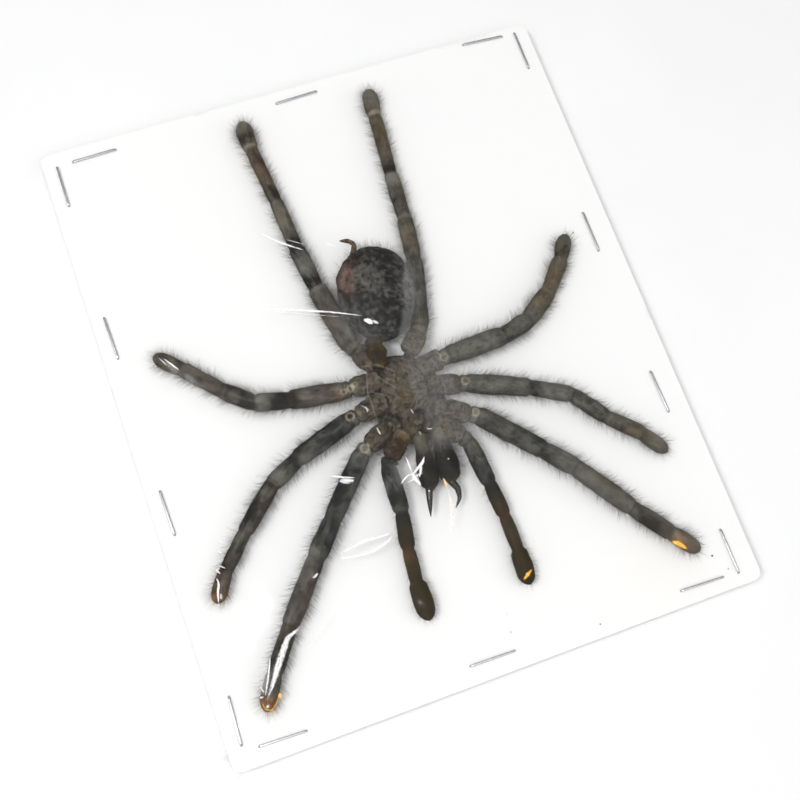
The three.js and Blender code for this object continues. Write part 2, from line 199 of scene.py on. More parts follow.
FANGS = {
    "fang_left": ((-3.5, -35.7, 4.8), (-4.4, -38.6, 4.4), (-5.0, -40.8, 4.0), (-5.6, -43.0, 3.6), 1.9),
    "fang_right": ((2.3, -36.0, 4.8), (3.5, -38.4, 4.4), (3.2, -40.9, 4.0), (1.4, -43.0, 3.6), 2.0),
}

# Staples as (x, y, heading of the crown in degrees), and their names in the frame.
STAPLES = {
    "left": ((-68.7, 76.1, 89.4), (-68.8, 30.1, 91), (-68.7, -19.5, 91), (-68.4, -74.3, 87)),
    "top": ((-58.1, 82.4, 1), (0.8, 83, 1.4), (58.6, 84.6, -3.7)),
    "right": ((68.4, 78.3, 89.5), (66.1, 18.8, 89.7), (66.2, -30.7, 91.3), (66.6, -77.1, 90)),
    "bottom": ((-58.7, -82.3, -2), (-2.8, -81.8, -1), (56.2, -82.6, -2)),
}

# Dents in the paper: (x, y, depth, reach). Stains: (x, y, reach, strength).
DENTS = (
    (41.1, 75.3, 0.1, 1.4), (54.8, 75.2, 0.16, 1.8), (59.2, 69.4, 0.12, 2.2), (58.8, 64.4, 0.1, 2.4),
    (62.8, 67.3, 0.14, 1.5), (28.9, 80.5, 0.08, 2), (-52, 60, 0.06, 6), (30, -55, 0.05, 7),
    (-30, -70, 0.05, 6),
)
STAINS = (
    (52.8, -78.9, 12, 0.7), (32.4, -75.9, 14, 0.5), (-16, 62, 24, 0.3), (46, -70, 8, 0.6),
    (-58, -72, 7, 0.6), (12, -68, 7, 0.5), (-14, -70, 7, 0.35), (1, 38, 12, 0.4), (0, -40, 22, 0.25),
)
SPECKS = ((61.7, -76.7, 0.34), (64.4, -81.3, 0.2), (4, -77.2, 0.2), (26.6, -83.1, 0.24), (4.7, -72.6, 0.16),
          (61.2, 20, 0.3), (-44, -18, 0.14), (30, 40, 0.12))

# Sharp folds of the film, each with a painted highlight: a line of places, half its greatest width, how
# bright its painted white highlight is, and how much of it is a painted warm reflection.
FOLD_GLINTS = (
    # over the tip of the first left leg
    (((-46, -58.5), (-50, -60), (-53, -63.8), (-56, -68), (-59, -72)), 0.85, 0.85, 0),
    (((-55.3, -62.5), (-57.5, -67.4), (-59.6, -71.5)), 0.25, 0.9, 0),
    (((-61.1, -71.2), (-60, -71.5)), 0.3, 0.9, 0),
    (((-60, -68.8), (-59.6, -70.5)), 0.2, 0.9, 0),
    (((-59.9, -73.6), (-59.6, -74.2)), 0.4, 0.9, 0),
    (((-55.9, -71.8), (-56.4, -73.2)), 0.6, 1, 0.9),
    (((-56.5, -72.3), (-57.5, -73.8), (-59, -75.1), (-60.2, -74.6), (-60.8, -73.4), (-60.6, -72.2)),
     0.2, 0.75, 1),
    # along the first and second left legs
    (((-39.6, -48.2), (-38.9, -48.1), (-37.8, -47.5)), 0.33, 0.8, 0),
    (((-27.4, -25), (-24.4, -26.5), (-21, -27.9)), 0.28, 0.8, 0),
    (((-25.3, -27.1), (-23.4, -27.9), (-21.5, -28.4)), 0.85, 0.7, 0),
    (((-60.7, -37), (-59.1, -38.6)), 0.2, 0.7, 0),
    (((-61.5, -37.8), (-60.7, -39.5)), 0.27, 0.7, 0),
    (((-59.6, -33.5), (-58.7, -34.6)), 0.2, 0.6, 0),
    (((-58.6, -30.6), (-57.8, -32.2)), 0.16, 0.5, 0),
    (((-62, -39.8), (-61.8, -41.6), (-62.8, -44), (-63.4, -46.2)), 0.33, 0.95, 0),
    (((-62, -44.1), (-62.5, -45.5)), 0.4, 0.6, 0),
    # the crumpled star beside the jaws
    (((-2.4, -28.3), (-3.4, -29.7), (-5.4, -30.9), (-6.8, -31.7)), 0.45, 1, 0),
    (((-6.8, -31), (-6.7, -33), (-6, -34.5), (-5.8, -35.2)), 0.5, 1, 0),
    (((-6.6, -31.7), (-8.2, -31.6), (-9.6, -32.4), (-10.7, -33.2)), 0.2, 0.95, 0),
    (((-6.9, -31.5), (-6.9, -29.8), (-7, -26.7)), 0.2, 0.85, 0),
    (((-3.6, -29.2), (-4.6, -31.5), (-5.6, -33.2)), 0.4, 0.7, 0),
    (((-4, -32.4), (-5.4, -32.2), (-7.2, -33), (-8.9, -33.4)), 0.3, 0.6, 0),
    # streaks of painted highlight from the right jaw down, partly a painted warm reflection
    (((0.3, -35.1), (0.4, -36.7), (0.3, -37.9)), 0.33, 1, 0.7),
    (((0.4, -37.9), (0.1, -42), (-0.7, -44.5), (-2.8, -49.3)), 0.6, 0.38, 0.22),
    (((3.1, -30.8), (3.3, -31.2)), 0.19, 0.9, 0.1),
    (((-4.4, -36.9), (-4.2, -37.3)), 0.17, 0.8, 0),
    # across the rear left leg and the abdomen
    (((-23, 45.1), (-19.4, 40.9), (-16.3, 38.1), (-13.2, 35.5)), 0.3, 0.8, 0),
    (((-17, 40.4), (-15.4, 39.3), (-12.7, 37.2)), 0.13, 0.45, 0),
    (((-7.3, 35.5), (-5.2, 33.5)), 0.19, 0.5, 0),
    (((-28.8, 23.4), (-20.4, 19.8), (-12.8, 16.2), (-7.5, 13.4), (-4.7, 11.8)), 0.26, 0.8, 0),
    (((-28.6, 22.9), (-20.6, 18.8), (-9.5, 13.4)), 0.12, 0.35, 0),
    (((-5.1, 11.1), (-4, 10.2), (-3.3, 9.1)), 0.67, 1, 0),
    (((-3.2, 10.1), (-1.8, 8.7)), 0.4, 0.7, 0),
    # the loop between the first left leg and the left palp
    (((-16.6, -44.1), (-20.1, -44), (-24, -43.7), (-28.2, -44.2), (-30.8, -44.8)), 0.4, 0.85, 0),
    (((-30.8, -44.7), (-31.2, -46), (-27, -46.7), (-22.6, -46.9), (-18.3, -45.6), (-16.6, -44.4)),
     0.36, 0.85, 0),
    (((-36.4, -57.1), (-44.1, -62.7), (-46.9, -64.8)), 0.3, 0.2, 0),
    # at the tips of the third left leg, the first right leg and the right palp
    (((-57.5, 18.8), (-56.4, 17.1), (-54.5, 14.4)), 0.2, 0.9, 0),
    (((-58.6, 19.5), (-57.3, 16.8)), 0.13, 0.6, 0),
    (((51.4, -69.7), (52.7, -70.7), (54.6, -73)), 0.68, 1, 1),
    (((10.9, -66.2), (12.4, -65.3), (13.8, -64.5)), 0.45, 1, 1),
    # small glints on the body
    (((-13.4, -10.3), (-12.4, -11.4), (-11.7, -12.4)), 0.16, 0.5, 0.1),
    (((-11.5, -17.1), (-11.2, -19.4)), 0.19, 0.85, 0.1),
    (((-1.5, -15.4), (-1.2, -16.9)), 0.16, 0.6, 0),
    (((-1.5, -21.6), (-1.2, -22.8)), 0.13, 0.6, 0),
    (((0.7, -21.5), (1.3, -22), (2.2, -22)), 0.16, 0.7, 0),
    (((-12.3, -10.9), (-12.3, -12.6)), 0.15, 0.7, 0.1),
    # faint lines over the body
    (((-8.3, 0.3), (-10.6, -7.8), (-10.7, -14.3), (-10.3, -18.6)), 0.1, 0.16, 0.12),
    (((-8.4, 0), (-5.7, -1.7), (-3, -3.7), (-1.2, -5.5)), 0.1, 0.17, 0.12),
    (((-10.5, -6.7), (-8.2, -8.9), (-5.9, -10)), 0.1, 0.15, 0.12),
    (((-8.6, -2.2), (-6.3, -5), (-2.7, -9.6)), 0.1, 0.14, 0.1),
    (((6.2, 0.1), (9, -6.6), (9.1, -12.4), (8.2, -17)), 0.1, 0.13, 0.05),
    (((8.5, -0.6), (10.9, -3.8), (12.3, -6.9)), 0.1, 0.13, 0.1),
    (((-0.3, 2.3), (0.9, 1), (1.4, -0.6)), 0.1, 0.15, 0.1),
    # the ear of film at the lower left corner
    (((-72.4, -84), (-74.2, -83), (-76.5, -81)), 0.9, 0.5, 0),
    (((-72.6, -85.8), (-74.2, -87), (-75.6, -88.4)), 0.5, 0.6, 0),
    (((-72.5, -81.5), (-73.8, -79), (-74.4, -76.6)), 0.4, 0.35, 0),
)

# Facets of the film with a painted pale veil that stands for reflected light: corners in order, strength, and
# softness of the edge in mm.
PAINTED_VEILS = (
    (((2.8, 5.5), (0.6, -5), (0.9, -17.7), (1.6, -22.4), (0.5, -26.5), (5.0, -28.0), (11.5, -27), (13.5, -24),
      (13.1, -14), (12.6, -4), (8.2, 3.6)), 0.062, 3.0),
    (((10.4, 26.7), (10.1, 21.9), (7.9, 16.6), (5.9, 10.4), (3.5, 6.1), (1.1, 2.5), (3.1, 1.9), (6.8, 6.5),
      (10.3, 12.8), (12.1, 19.4), (12.0, 25.5)), 0.09, 0.7),
    (((-9.0, 18.7), (-7.6, 13.0), (-3.0, 7.9), (-3.1, 3.6), (-8.8, 3.4), (-11.9, 9.1), (-11.6, 17.0)),
     0.03, 2.4),
    (((-11.2, -27.6), (-11.6, -33.5), (-7, -34), (-6.4, -29)), 0.1, 2.4),
    (((-57.5, -62), (-60.5, -70), (-59, -71), (-56.5, -66)), 0.25, 0.5),
)


# ---- sizes and colours


def length(name, description, default):
    return FloatProperty(
        name=name, description=description, default=default, min=0, unit="LENGTH", subtype="DISTANCE")


def count(name, description, default):
    return IntProperty(name=name, description=description, default=default, min=0)


def colour(name, description, default):
    return FloatVectorProperty(
        name=name, description=description, default=default, size=3, min=0, max=1, subtype="COLOR")


class SpecimenSizes(bpy.types.PropertyGroup):
    board_width: length("Board width", "Short side of the foam board", BOARD_HIGH.x - BOARD_LOW.x)
    board_height: length("Board height", "Long side of the foam board", BOARD_HIGH.y - BOARD_LOW.y)
    board_corner: length("Board corner", "Radius of the board's corners", 0.0025)
    paper: length("Paper", "Thickness of the paper on the foam", 0.0004)
    film: length("Film", "Thickness of the clear film", 0.00006)
    hem: length("Hem", "Width of film folded under the board", 0.013)
    wire: length("Staple wire", "Thickness of the staple's wire", 0.0006)
    crown: length("Staple crown", "Length of a staple's crown", 0.0129)
    fuzz: length("Fuzz", "Length of the short hair", 0.0004)
    bristle: length("Bristle", "Length of the long hair", 0.0027)
    hair_width: length("Hair width", "Thickness of a hair at its root", 0.00004)
    fuzz_count: count("Fuzz per cm2", "Short hairs on a square centimetre", 1100)
    bristle_count: count("Bristles per cm2", "Long hairs on a square centimetre", 620)


class SpecimenColours(bpy.types.PropertyGroup):
    paper: colour("Paper", "Paper on the board", (0.86, 0.86, 0.85))
    leg_dark: colour("Leg dark", "Deep tone of the legs", (0.009, 0.009, 0.007))
    leg_light: colour("Leg light", "Light tone of the legs", (0.156, 0.153, 0.131))
    olive: colour("Olive", "Warm brown of the outer segments", (0.03, 0.019, 0.004))
    ruddy: colour("Ruddy", "Reddish brown patches", (0.06, 0.02, 0.014))
    cream: colour("Cream", "Joint skin and membrane", (0.42, 0.36, 0.26))
    body_dark: colour("Body dark", "Deep tone of the body", (0.011, 0.009, 0.006))
    body_light: colour("Body light", "Dusty tone of the body", (0.125, 0.11, 0.085))
    abdomen_dark: colour("Abdomen dark", "Charcoal of the abdomen", (0.009, 0.0088, 0.0075))
    abdomen_light: colour("Abdomen light", "Grey of the abdomen", (0.12, 0.116, 0.102))
    amber: colour("Amber", "Bare cuticle of the waist", (0.062, 0.036, 0.001))
    steel: colour("Steel", "Staple wire", (0.64, 0.63, 0.66))


def sizes():
    return bpy.context.scene.specimen_sizes


def colours():
    return bpy.context.scene.specimen_colours


def rgba(name):
    return (*getattr(colours(), name), 1.0)


# ---- meshes


def link_object(name, mesh):
    piece = bpy.data.objects.new(name, mesh)
    bpy.context.scene.collection.objects.link(piece)
    return piece


def make_piece(name, points, faces, materials=()):
    """A smooth mesh object from points in millimetres."""
    mesh = bpy.data.meshes.new(name)
    mesh.from_pydata((np.asarray(points, float) * MM).tolist(), [], faces)
    mesh.polygons.foreach_set("use_smooth", [True] * len(mesh.polygons))
    mesh.update()
    for material in materials:
        mesh.materials.append(material)
    return link_object(name, mesh)


def store(piece, name, values):
    values = np.asarray(values, float)
    kind = "FLOAT_VECTOR" if values.ndim == 2 else "FLOAT"
    attribute = piece.data.attributes.new(name, kind, "POINT")
    attribute.data.foreach_set("vector" if kind == "FLOAT_VECTOR" else "value", values.ravel())


def points_of(mesh):
    flat = np.empty(len(mesh.vertices) * 3)
    mesh.vertices.foreach_get("co", flat)
    return flat.reshape(-1, 3) / MM


def normals_of(mesh):
    flat = np.empty(len(mesh.vertices) * 3)
    mesh.vertex_normals.foreach_get("vector", flat)
    return flat.reshape(-1, 3)


def rough(points, scale, seed=0.0):
    """Smooth noise from -1 to 1 at each point, with features of about 1 / scale millimetres."""
    return np.array([noise.noise(Vector(p) * scale + Vector((seed, -seed, seed * 0.5))) for p in points])


def bell(distance, reach):
    return np.exp(-(distance / reach) ** 2)


def unit(values):
    """Values held between 0 and 1."""
    return np.clip(values, 0, 1)


def unit_rows(ways):
    """Directions of length 1."""
    return ways / np.maximum(np.linalg.norm(ways, axis=1), 1e-9)[:, None]


def roughened(points, *layers):
    """The sum of several noises, each (scale, seed, share)."""
    return sum(rough(points, scale, seed) * share for scale, seed, share in layers)


def evaluated(piece):
    graph = bpy.context.evaluated_depsgraph_get()
    return bpy.data.meshes.new_from_object(piece.evaluated_get(graph), depsgraph=graph)


def finish_piece(piece, slot, *nodes):
    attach(piece, "root")
    if nodes:
        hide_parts(*nodes)


def tube(line, radii, sides, flat=0.94, shape=None):
    """Points, faces, place and angle of a closed tube along a line, with a pole at each end."""
    line, radii = np.asarray(line, float), np.asarray(radii, float)
    ways = unit_rows(np.gradient(line, axis=0))
    side = unit_rows(np.cross(ways, (0, 0, 1)))
    over = np.cross(side, ways)
    turn = np.arange(sides) * 2 * math.pi / sides
    rings = len(line)
    r = np.repeat(radii[:, None], sides, 1)
    if shape is not None:
        r = r * shape(np.arange(rings)[:, None], turn[None, :])
    p = (line[:, None, :] + (r * np.cos(turn))[..., None] * side[:, None, :]
         + (flat * r * np.sin(turn))[..., None] * over[:, None, :])
    first_pole = line[:1] - ways[:1] * radii[0] * POLE
    last_pole = line[-1:] + ways[-1:] * radii[-1] * POLE
    points = np.vstack([p.reshape(-1, 3), first_pole, last_pole])
    start, end, last = rings * sides, rings * sides + 1, (rings - 1) * sides
    faces = []
    for i in range(rings - 1):
        for j in range(sides):
            k = (j + 1) % sides
            faces.append((i * sides + j, i * sides + k, (i + 1) * sides + k, (i + 1) * sides + j))
    for j in range(sides):
        k = (j + 1) % sides
        faces += [(start, k, j), (end, last + j, last + k)]
    places = np.concatenate([np.repeat(np.arange(rings), sides), [0, rings - 1]])
    angles = np.concatenate([np.tile(turn, rings), [0, 0]])
    return points, faces, places, angles, ways


def face_out(piece):
    """Turns the faces out where the closed shape came out inside out."""
    points = points_of(piece.data)
    volume = 0.0
    for face in piece.data.polygons:
        ring = points[list(face.vertices)]
        for a, b in zip(ring[1:-1], ring[2:]):
            volume += float(np.dot(ring[0], np.cross(a, b)))
    if volume < 0:
        piece.data.flip_normals()


def add_map(piece, across, along):
    """A UV map with millimetres round the piece and along it."""
    layer = piece.data.uv_layers.new(name="lay")
    index = np.empty(len(piece.data.loops), int)
    piece.data.loops.foreach_get("vertex_index", index)
    layer.data.foreach_set("uv", np.stack([across[index], along[index]], 1).ravel())


def as_faces(rows):
    """Faces as plain tuples of whole numbers."""
    return [tuple(map(int, row)) for row in rows]


def grid_faces(index):
    """The quads of a grid of point numbers."""
    return np.stack([index[:-1, :-1], index[1:, :-1], index[1:, 1:], index[:-1, 1:]], -1).reshape(-1, 4)


def grid_border(index):
    """The outer point numbers of a grid, in order round it."""
    return np.concatenate([index[:-1, 0], index[-1, :-1], index[:0:-1, -1], index[0, :0:-1]])


def run_along(line):
    """How far along a line each of its points lies."""
    return np.concatenate([[0], np.cumsum(np.linalg.norm(np.diff(line, axis=0), axis=1))])


def through(knots, at, places=None):
    """Points on the straight stretches between knots, whose places default to 0, 1, 2 and so on."""
    places = range(len(knots)) if places is None else places
    return np.stack([np.interp(at, places, column) for column in np.transpose(knots)], 1)


def distance_to(points, x, y):
    """How far each point is from an upright line at x, y."""
    return np.hypot(points[:, 0] - x, points[:, 1] - y)


def skin_piece(name, points, faces, material):
    """A closed skin with its faces out."""
    piece = make_piece(name + "_skin", points, faces, (material,))
    face_out(piece)
    return piece


def blank_marks(points):
    return {key: np.zeros(len(points)) for key in MARK_KINDS}


def add_spots(marks, points, ragged, spots):
    """Adds round marks, each (what, x, y, reach, strength)."""
    for what, x, y, reach, strength in spots:
        marks[what] += strength * bell(distance_to(points, x, y) + ragged, reach)


def store_marks(piece, marks, dark_joints_and_painted_shade):
    for key, values in marks.items():
        store(piece, key, unit(values))
    store(piece, "dark_joints_and_painted_shade", dark_joints_and_painted_shade)


# ---- node helpers


def put(tree, kind, inputs=None, **settings):
    node = tree.nodes.new(kind)
    for key, value in settings.items():
        setattr(node, key, value)
    for key, value in (inputs or {}).items():
        socket = node.inputs[key]
        if isinstance(value, bpy.types.NodeSocket):
            tree.links.new(value, socket)
        else:
            socket.default_value = value
    return node


def out(tree, kind, inputs=None, key=0, **settings):
    """One output of a new node."""
    return put(tree, kind, inputs, **settings).outputs[key]


def calc(tree, operation, a, b=0.0, c=0.0, clamp=False):
    return out(tree, "ShaderNodeMath", {0: a, 1: b, 2: c}, operation=operation, use_clamp=clamp)


def times(tree, a, b):
    return calc(tree, "MULTIPLY", a, b)


def mixed(tree, factor, a, b):
    return out(tree, "ShaderNodeMix", {0: factor, 6: a, 7: b}, 2, data_type="RGBA")


def span(tree, value, low, high, to_low=0.0, to_high=1.0):
    return out(tree, "ShaderNodeMapRange", {0: value, 1: low, 2: high, 3: to_low, 4: to_high})


def attribute(tree, name):
    return out(tree, "ShaderNodeAttribute", key="Fac", attribute_name=name)


def marked(tree, name, share):
    """A share of a mark that the piece carries."""
    return times(tree, attribute(tree, name), share)


def coat(tree, shader, base, grain, low, high):
    """Sets the colour, and a roughness that follows the grain."""
    tree.links.new(base, shader.inputs["Base Color"])
    tree.links.new(span(tree, grain, 0.3, 0.7, low, high), shader.inputs["Roughness"])


def weighted(tree, *pairs):
    """The sum of values, each times its share."""
    terms = [times(tree, value, share) for value, share in pairs]
    total = terms[0]
    for term in terms[1:]:
        total = calc(tree, "ADD", total, term)
    return total


def new_group(name, inputs, outputs):
    """A shader group with its named sockets, and its input and output nodes."""
    group = bpy.data.node_groups.new(name, "ShaderNodeTree")
    for key, default in inputs.items():
        socket = group.interface.new_socket(name=key, in_out="INPUT", socket_type="NodeSocketFloat")
        socket.default_value = default
    for key in outputs:
        group.interface.new_socket(name=key, in_out="OUTPUT", socket_type="NodeSocketFloat")
    return group, put(group, "NodeGroupInput").outputs, put(group, "NodeGroupOutput")


def cloud(tree, where, scale, detail, roughness):
    return out(tree, "ShaderNodeTexNoise", {
        "Vector": where, "Scale": scale, "Detail": detail, "Roughness": roughness})


def mottle_group():
    """Patches of two sizes over the surface: a mask and a fine height."""
    if "Mottle" in bpy.data.node_groups:
        return bpy.data.node_groups["Mottle"]
    group, given, result = new_group(
        "Mottle", {"Patch Scale": 300.0, "Grain Scale": 2500.0, "Low": 0.4, "High": 0.6}, ("Patch", "Grain"))
    where = out(group, "ShaderNodeTexCoord", key="Object")
    patch, grain = (
        cloud(group, where, given[scale], detail, hold)
        for scale, detail, hold in (("Patch Scale", 5.0, 0.6), ("Grain Scale", 4.0, 0.65)))
    patches = out(group, "ShaderNodeMapRange", {0: patch, 1: given["Low"], 2: given["High"]})
    group.links.new(patches, result.inputs["Patch"])
    group.links.new(grain, result.inputs["Grain"])
    return group


def pelt_group():
    """Short lying hair drawn out along the piece's own map."""
    if "Pelt" in bpy.data.node_groups:
        return bpy.data.node_groups["Pelt"]
    group, given, result = new_group("Pelt", {"Fineness": 6.0, "Length": 0.9}, ("Strands", "Clumps"))
    where = out(group, "ShaderNodeUVMap", uv_map="lay")
    stretch = xyz(group, given["Fineness"], given["Length"], 1.0)
    drawn = out(group, "ShaderNodeVectorMath", {0: where, 1: stretch}, operation="MULTIPLY")
    fine, broad = cloud(group, drawn, 1.0, 3.0, 0.6), cloud(group, drawn, 0.28, 2.0, 0.5)
    group.links.new(span(group, fine, 0.3, 0.7), result.inputs["Strands"])
    group.links.new(span(group, broad, 0.35, 0.65), result.inputs["Clumps"])
    return group


def new_material(name, **values):
    """A material with a Principled shader and its output."""
    material = bpy.data.materials.new(name)
    material.use_nodes = True
    tree = material.node_tree
    shader = tree.nodes["Principled BSDF"]
    for key, value in values.items():
        shader.inputs[key.replace("_", " ")].default_value = value
    return material, tree, shader


def use_group(tree, group, **values):
    inputs = {key.replace("_", " "): value for key, value in values.items()}
    return put(tree, "ShaderNodeGroup", inputs, node_tree=group).outputs


def mottle(tree, patch, grain, low, high):
    return use_group(tree, mottle_group(), Patch_Scale=patch, Grain_Scale=grain, Low=low, High=high)


def xyz(tree, x=0.0, y=0.0, z=0.0):
    return out(tree, "ShaderNodeCombineXYZ", {0: x, 1: y, 2: z})


def tinted(tree, base, tone, *tints):
    """The base colour with other pairs of tones over it, each (mark, share, dark tone, light tone)."""
    for key, share, dark, light in tints:
        base = mixed(tree, marked(tree, key, share), base, mixed(tree, tone, dark, light))
    return base


def bump(tree, shader, height, strength, distance):
    node = put(tree, "ShaderNodeBump", {"Height": height, "Strength": strength, "Distance": distance})
    tree.links.new(node.outputs[0], shader.inputs["Normal"])


def skin_material(name, dark, light, patch_scale, low, high, strands=True, gloss=0.72, lift=0.0):
    """Dried, hairy cuticle with the marks that its piece carries, among them painted warm reflections and
    painted shade in hollows and creases.
    """
    material, tree, shader = new_material(name, Specular_IOR_Level=SKIN_SHINE)
    spots = mottle(tree, patch_scale, 2600.0, low, high)
    shares, height = [(spots["Patch"], 0.5), (spots["Grain"], 0.4)], spots["Grain"]
    if strands:
        pelt = use_group(tree, pelt_group(), Fineness=5.0, Length=0.8)
        shares += [(pelt["Strands"], 0.45), (pelt["Clumps"], 0.16)]
        height = calc(tree, "ADD", times(tree, pelt["Strands"], 0.6), height)
    tone = weighted(tree, *shares)
    if not strands:
        tone = calc(tree, "ADD", tone, 0.25)
    tone = calc(tree, "ADD", tone, marked(tree, "pale", 0.75))
    tone = calc(tree, "SUBTRACT", tone, marked(tree, "dark", 0.6))
    tone = calc(tree, "ADD", tone, lift - 0.4, clamp=True)
    base = tinted(
        tree, mixed(tree, tone, rgba(dark), rgba(light)), tone,
        ("warm", 0.85, rgba("olive"), (0.15, 0.095, 0.04, 1)),
        ("ruddy", 0.8, rgba("ruddy"), (0.2, 0.12, 0.09, 1)),
        # painted reflection of a warm light
        ("gold", 0.8, (0.16, 0.055, 0.01, 1), (0.5, 0.27, 0.09, 1)))
    grainy = calc(tree, "ADD", times(tree, spots["Grain"], 0.6), 0.55)
    cream = marked(tree, "cream", grainy)
    base = mixed(tree, calc(tree, "MINIMUM", cream, 1.0), base, rgba("cream"))
    # Dark joints on the limbs; painted shade in the hollows of the body and in the abdomen's creases.
    base = mixed(tree, marked(tree, "dark_joints_and_painted_shade", 0.85), base, (0.008, 0.006, 0.005, 1))
    coat(tree, shader, base, spots["Grain"], gloss - 0.12, gloss + 0.12)
    bump(tree, shader, height, 0.7, 0.00012)
    return material


def two_tone_material(name, dark, light, patch, grain, low, high, roughness, depth, **values):
    """A material of two tones of one colour with a fine grain."""
    material, tree, shader = new_material(name, **values)
    spots = mottle(tree, patch, grain, low, high)
    coat(tree, shader, mixed(tree, spots["Patch"], (*dark, 1), (*light, 1)), spots["Grain"], *roughness)
    bump(tree, shader, spots["Grain"], 0.5, depth)
    return material


# ---- Geometry Nodes


def geometry_tree(name, numbers):
    """A Geometry Nodes tree with a geometry in and out, its named numbers and a material."""
    tree = bpy.data.node_groups.new(name, "GeometryNodeTree")
    inputs = {"Geometry": "Geometry", **dict.fromkeys(numbers, "Float"), "Material": "Material"}
    for key, kind in inputs.items():
        tree.interface.new_socket(name=key, in_out="INPUT", socket_type="NodeSocket" + kind)
    tree.interface.new_socket(name="Geometry", in_out="OUTPUT", socket_type="NodeSocketGeometry")
    return tree, put(tree, "NodeGroupInput").outputs, put(tree, "NodeGroupOutput").inputs[0]


def grown(name, base, tree, values):
    """A plain mesh object from what a Geometry Nodes tree makes on the base mesh."""
    carrier = link_object(name + "_carrier", base)
    modifier = carrier.modifiers.new("grow", "NODES")
    modifier.node_group = tree
    for item in tree.interface.items_tree:
        if item.item_type == "SOCKET" and item.in_out == "INPUT" and item.name in values:
            modifier[item.identifier] = values[item.name]
    mesh = evaluated(carrier)
    bpy.data.objects.remove(carrier)
    for spent in ("cover", "stand", "lay_way", "dark_joints_and_painted_shade", "heading"):
        if spent in mesh.attributes:
            mesh.attributes.remove(mesh.attributes[spent])
    mesh.name = name
    if not len(mesh.polygons):
        raise RuntimeError(name + " came out empty")
    return link_object(name, mesh)


def named(tree, name, kind="FLOAT"):
    """An attribute of the mesh by its name."""
    return out(tree, "GeometryNodeInputNamedAttribute", {"Name": name}, "Attribute", data_type=kind)


def scaled(tree, vector, scale):
    return out(tree, "ShaderNodeVectorMath", {0: vector, "Scale": scale}, operation="SCALE")


def added(tree, a, b):
    return out(tree, "ShaderNodeVectorMath", {0: a, 1: b}, operation="ADD")


def drawn_vector(tree, low, high, seed):
    return out(tree, "FunctionNodeRandomValue", {0: low, 1: high, "Seed": seed}, data_type="FLOAT_VECTOR")


HAIR_STRAY = 0.65  # how far a hair leans at random, against its stand and its lay
HAIR_SHORTEST, HAIR_LONGEST = 0.2, 1.25  # as shares of the usual length


def hair_layer(tree, given, prefix, seed, settle):
    """One kind of hair on the skin: scattered, leaned along the lay and turned at random."""
    density = times(tree, named(tree, "cover"), given[prefix + " Density"])
    spread = put(tree, "GeometryNodeDistributePointsOnFaces", {
        "Mesh": given["Geometry"], "Density": density, "Seed": seed}, distribute_method="RANDOM")
    up = scaled(tree, spread.outputs["Normal"], named(tree, "stand"))
    lean = scaled(tree, named(tree, "lay_way", "FLOAT_VECTOR"), settle)
    stray = scaled(tree, drawn_vector(tree, (-1, -1, -1), (1, 1, 1), seed + 1), HAIR_STRAY)
    way = added(tree, added(tree, up, lean), stray)
    aimed = out(tree, "FunctionNodeAlignRotationToVector", {"Vector": way}, axis="Z")
    spin = drawn_vector(tree, (0, 0, 0), (0, 0, 2 * math.pi), seed + 2)
    turn = out(tree, "FunctionNodeEulerToRotation", {0: spin})
    aimed = out(tree, "FunctionNodeRotateRotation", {
        "Rotation": aimed, "Rotate By": turn}, rotation_space="LOCAL")
    spike = out(tree, "GeometryNodeMeshCone", {
        "Vertices": 3, "Radius Top": 0.35, "Radius Bottom": 1.0, "Depth": 1.0}, "Mesh", fill_type="NONE")
    share = out(tree, "FunctionNodeRandomValue", {
        2: HAIR_SHORTEST, 3: HAIR_LONGEST, "Seed": seed + 3}, 1, data_type="FLOAT")
    thin = times(tree, given[prefix + " Width"], 0.5)
    size = xyz(tree, thin, thin, times(tree, share, given[prefix + " Length"]))
    return out(tree, "GeometryNodeInstanceOnPoints", {
        "Points": spread.outputs["Points"], "Instance": spike, "Rotation": aimed, "Scale": size})


def hair_tree():
    """Short fuzz and long bristles on a skin, in one material."""
    tree, given, result = geometry_tree(
        "Hair", [f"{kind} {what}" for kind in ("Fuzz", "Bristle") for what in ("Density", "Length", "Width")])
    both = put(tree, "GeometryNodeJoinGeometry")
    for kind, seed, settle in (("Fuzz", 11, 1.5), ("Bristle", 31, 0.8)):
        tree.links.new(hair_layer(tree, given, kind, seed, settle), both.inputs[0])
    finish_tree(tree, both.outputs[0], given["Material"], result)
    return tree


def finish_tree(tree, instances, material, result):
    real = out(tree, "GeometryNodeRealizeInstances", {0: instances})
    tree.links.new(out(tree, "GeometryNodeSetMaterial", {0: real, "Material": material}), result)


def rounded(tree, curve, radius, steps):
    return out(tree, "GeometryNodeFilletCurve", {
        "Curve": curve, "Radius": radius, "Count": steps}, mode="POLY")


